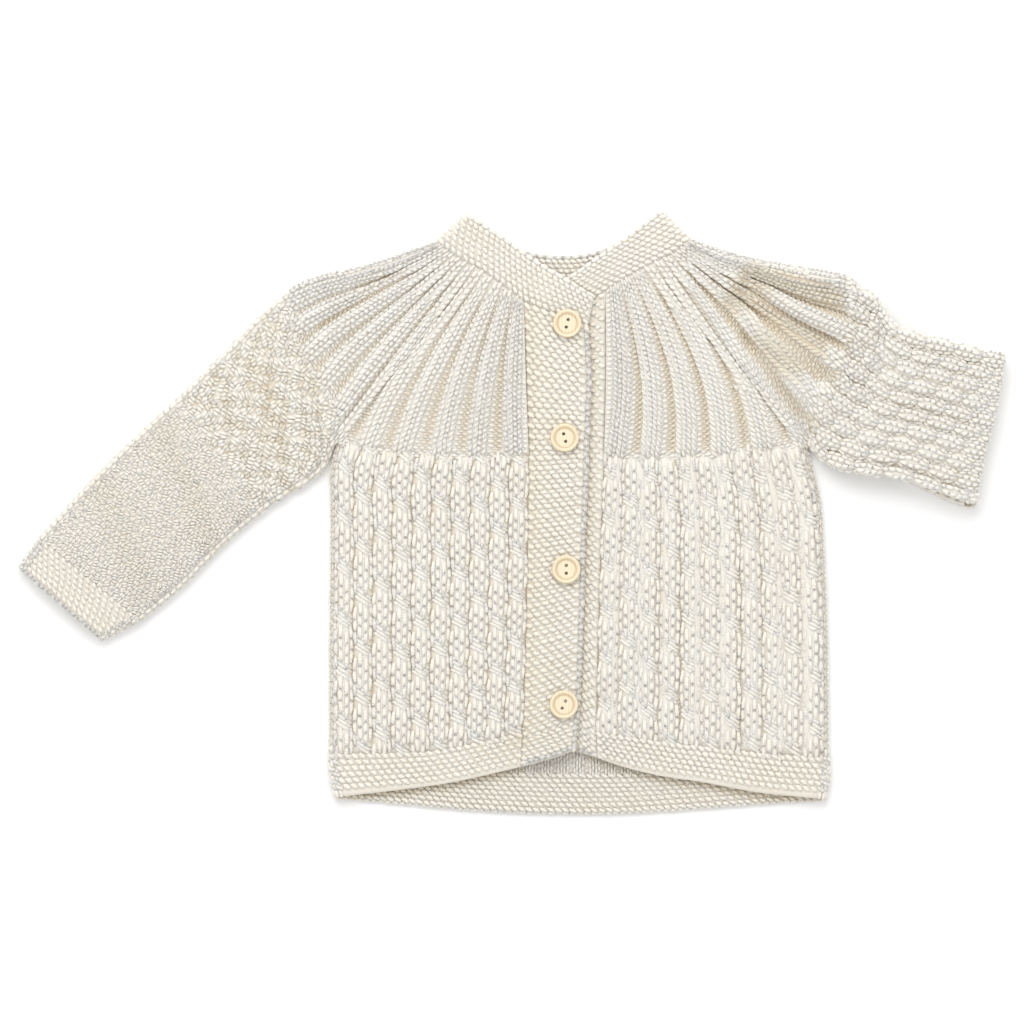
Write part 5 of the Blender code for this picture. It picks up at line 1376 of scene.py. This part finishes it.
def column_wave(piece):
    """Relief of the upright columns of a front, which fades at its ends."""
    columns = max(1, round(piece.size[0] / COLUMN_PITCH))
    wave = pleat(np.clip(piece.a, 0, 1) * columns + 0.5, 0.5, COLUMN_FLAT)
    return wave * COLUMN_RELIEF * (smooth(piece.b * 36) * smooth((1 - piece.b) * 24))[:, None]


def even_ribs(count):
    """A table of ribs that don't spread."""
    middles = [YOKE_COLUMNS * (k + 0.5) / count for k in range(count)]
    return {"near": middles, "far": middles}


# Stitches of the bands, and the flatter ones of what lies underneath.
BAND = dict(ridge=2.4, stitch=4.2, radius=1.35, reach=0.53, furrow=0.3)
BAND_FOOT = dict(radius=1.5, link=6.0, base=-0.2)
NECK_STITCH = dict(ridge=2.7, stitch=3.4, a=(0.03, 0.93), along_b=True)
FLAT_GARTER = dict(radius=0.72, base=0.4)
FLAT_MOSS = dict(lift=0.0, radius=0.8, base=0.36, dense=False)
FLAT_CABLES = dict(row=2.7, radius=0.8, base=0.36, puff=-0.3)

for side in ("right", "left"):
    front, yoke, hem = (layers[part + side] for part in ("front_", "yoke_", "hem_"))
    front.embossed(column_wave(front))
    yarn = Yarn(sides=5)
    cables(yarn, front, loose=2.6, phase=0.2 if side == "right" else 0.55)
    rim(yarn, front)
    cloth_piece("front_" + side, [front], yarn, outer=0.72)
    yarn = Yarn(sides=6)
    fan(yarn, yoke, RIBS[side], b=(0.0, 1.02))
    rim(yarn, yoke)
    cloth_piece("yoke_" + side, [yoke], yarn, step=1)
    yarn = Yarn(sides=6)
    garter(yarn, hem, b=(0.0, 0.87), lean=radians(36), radius=1.25, base=0.5)
    rim(yarn, hem)
    cloth_piece("hem_" + side, [hem], yarn, outer=0.5, step=1)

yarn = Yarn(sides=6)
garter(yarn, over_band, a=(0.0, 0.93), b=(0.0, 0.925), **BAND)
garter(yarn, over_band, a=(0.0, 0.93), b=(0.925, 0.985))
chain(yarn, over_band, [(0.965, b) for b in over_band.b], radius=1.55, link=6.0, base=0.0)
chain(yarn, over_band, [(a, 0.99) for a in over_band.a], **BAND_FOOT)
cloth_piece("buttonhole_band", [over_band], yarn, outer=0.35)
yarn = Yarn(sides=5)
garter(yarn, under_band, a=(0.0, 1.0), b=(0.0, 0.985), **BAND)
chain(yarn, under_band, [(a, 0.99) for a in under_band.a], **BAND_FOOT)
cloth_piece("button_band", [under_band], yarn)

yarn = Yarn(sides=6)
back_rows = np.flatnonzero(neck.normal[:, 3, 2] < -0.95)
inside = neck.part(slice(back_rows[0], back_rows[-1] + 1)).other_side()
for piece in (neck, inside):
    garter(yarn, piece, **NECK_STITCH)
for piece in (neck, inside):
    chain(yarn, piece, [(0.97, b) for b in piece.b[::3]], radius=1.35, link=4.5, base=0.1)
cloth_piece("neckband", [neck], yarn, inner=0.4)

top, low = right_sleeve["sleeve_right"]
yarn = Yarn(sides=5)
# Uneven lumps on the upper arm, about 7 mm across.
lumps = np.sin(top.a[None] * top.size[0] / 7.2 * pi + np.sin(top.b * 17)[:, None]) * np.sin(
    top.b[:, None] * top.size[1] / 6.4 * pi + np.sin(top.a * 13)[None]
)
top.embossed(0.9 * lumps * smooth((0.5 - top.b[:, None]) * 8) * smooth(top.b[:, None] * 20))
moss(yarn, top, width=3.9, row=3.0, block=2, b=(0.0, 0.42), lift=0.3, radius=1.2, lean=0.4)
moss(yarn, top, width=3.3, row=2.5, b=(0.42, 1.0), rough=0.2, radius=0.95, lean=0.5)
rim(yarn, top, ends=(0, 1))
moss(yarn, low, width=4.2, row=3.1, a=span(low), rough=0.2, **FLAT_MOSS)
cloth_piece("sleeve_right", [top, low], yarn)
top, low = right_sleeve["cuff_right"]
yarn = Yarn(sides=5)
garter(yarn, top, b=(0.0, 0.93))
chain(yarn, top, [(a, 0.98) for a in top.a], radius=1.3, link=5.0)
rim(yarn, top, ends=(0, 1))
garter(yarn, low, b=(0.0, 0.93), **FLAT_GARTER)
chain(yarn, low, [(a, 1.0) for a in low.a], radius=0.9)
cloth_piece("cuff_right", [top, low], yarn)

yarn = Yarn(sides=6)
first, last = span(left_top)
cables(
    yarn, left_top, pitch=left_top.size[0] * (last - first) / SLEEVE_COLUMNS, repeat=SLEEVE_REPEAT,
    cross=0.14, puff=-0.2, a=(first, last), b=(0.0, left_top.b[-1]), radius=0.95, phase=0.07, leg=1.35,
    bulge=((0.5, 1.0), (0.16, 0.36)),
)
for edge in (first, last):
    chain(yarn, left_top, [(edge, b) for b in left_top.b], radius=1.3, link=5.0)
cloth_piece("sleeve_left", [left_top], yarn)
yarn = Yarn(sides=4, rings=2)
moss(yarn, left_low, a=span(left_low), **FLAT_MOSS)
cloth_piece("sleeve_left_back", [left_low], yarn)
yarn = Yarn(sides=4, rings=2)
for piece in left_cuff:
    garter(yarn, piece, b=(0.1, 1.0), **FLAT_GARTER)
    chain(yarn, piece, [(a, 0.04) for a in piece.a], radius=0.8)
cloth_piece("cuff_left", left_cuff, yarn)
yarn = Yarn(sides=4, rings=2)
moss(yarn, forearm, a=span(forearm), b=(0.0, forearm.b[-1]), **FLAT_MOSS)
for edge in ((forearm_top.a[0], 0.03), (0.97, forearm_top.a[-1])):
    moss(yarn, forearm_top, a=edge, **FLAT_MOSS)
cloth_piece("sleeve_left_fold", [forearm, forearm_top], yarn)

back, yoke, hem = (layers[node] for node in ("back", "yoke_back", "hem_back"))
yarn = Yarn(sides=4, rings=2)
cables(yarn, back, a=span(back), **FLAT_CABLES)
fan(yarn, back.other_side(), even_ribs(31), b=(0.88, 1.0), stitch=4.0)
cloth_piece("back", [back], yarn, inner=0.6)
yarn = Yarn(sides=4, rings=2)
fan(yarn, yoke, even_ribs(19), base=0.3, edges=(True, True))
cloth_piece("yoke_back", [yoke], yarn, outer=0.3)
yarn = Yarn(sides=5)
garter(yarn, hem, b=(0.0, 0.93), **FLAT_GARTER)
inside = hem.other_side()
garter(yarn, inside, a=(0.0, 1.0), b=(0.0, 1.0))
chain(yarn, inside, [(a, 1.0) for a in hem.a], radius=0.9, link=3.6)
cloth_piece("hem_back", [hem], yarn, inner=0.35)

# ---------------------------------------------------------------- stage

FLOOR_REACH = 6.0  # metres from its middle to each side
floor_mesh = bpy.data.meshes.new("floor")
corners = [(x * FLOOR_REACH, y * FLOOR_REACH, 0) for x, y in ((-1, -1), (1, -1), (1, 1), (-1, 1))]
floor_mesh.from_pydata(corners, [], [(0, 1, 2, 3)])
floor = bpy.data.objects.new("floor", floor_mesh)
bpy.context.scene.collection.objects.link(floor)
paper = bpy.data.materials.new("paper")
paper.use_nodes = True
paper_inputs = paper.node_tree.nodes["Principled BSDF"].inputs
paper_inputs["Base Color"].default_value = (0.93, 0.93, 0.93, 1)
paper_inputs["Roughness"].default_value = 0.9
floor_mesh.materials.append(paper)

world = bpy.data.worlds.new("world")
bpy.context.scene.world = world
world.use_nodes = True
sky = world.node_tree.nodes["Background"].inputs
sky["Color"].default_value = (1, 1, 1, 1)
sky["Strength"].default_value = 0.915

lamp = bpy.data.lights.new("window", "AREA")
lamp.shape, lamp.size, lamp.size_y, lamp.energy = "RECTANGLE", 2.0, 1.2, 25
lamp_object = bpy.data.objects.new("window", lamp)
lamp_object.location = (-0.3, 1.5, 1.6)
lamp_object.rotation_euler = (-lamp_object.location).to_track_quat("-Z", "Y").to_euler()
bpy.context.scene.collection.objects.link(lamp_object)

camera_data = bpy.data.cameras.new("camera")
camera = bpy.data.objects.new("camera", camera_data)
bpy.context.scene.collection.objects.link(camera)
DISTANCE = 4.2
VIEW_WIDTH = 0.512  # what the photograph shows from side to side, at the height of the cloth's middle
VIEW_Z = 0.006
camera_data.lens = camera_data.sensor_width * DISTANCE / VIEW_WIDTH
camera.location = (0.0005, -0.00025, DISTANCE + VIEW_Z)
camera_data.clip_end = 20
bpy.context.scene.camera = camera
bpy.context.scene.view_settings.view_transform = "Standard"
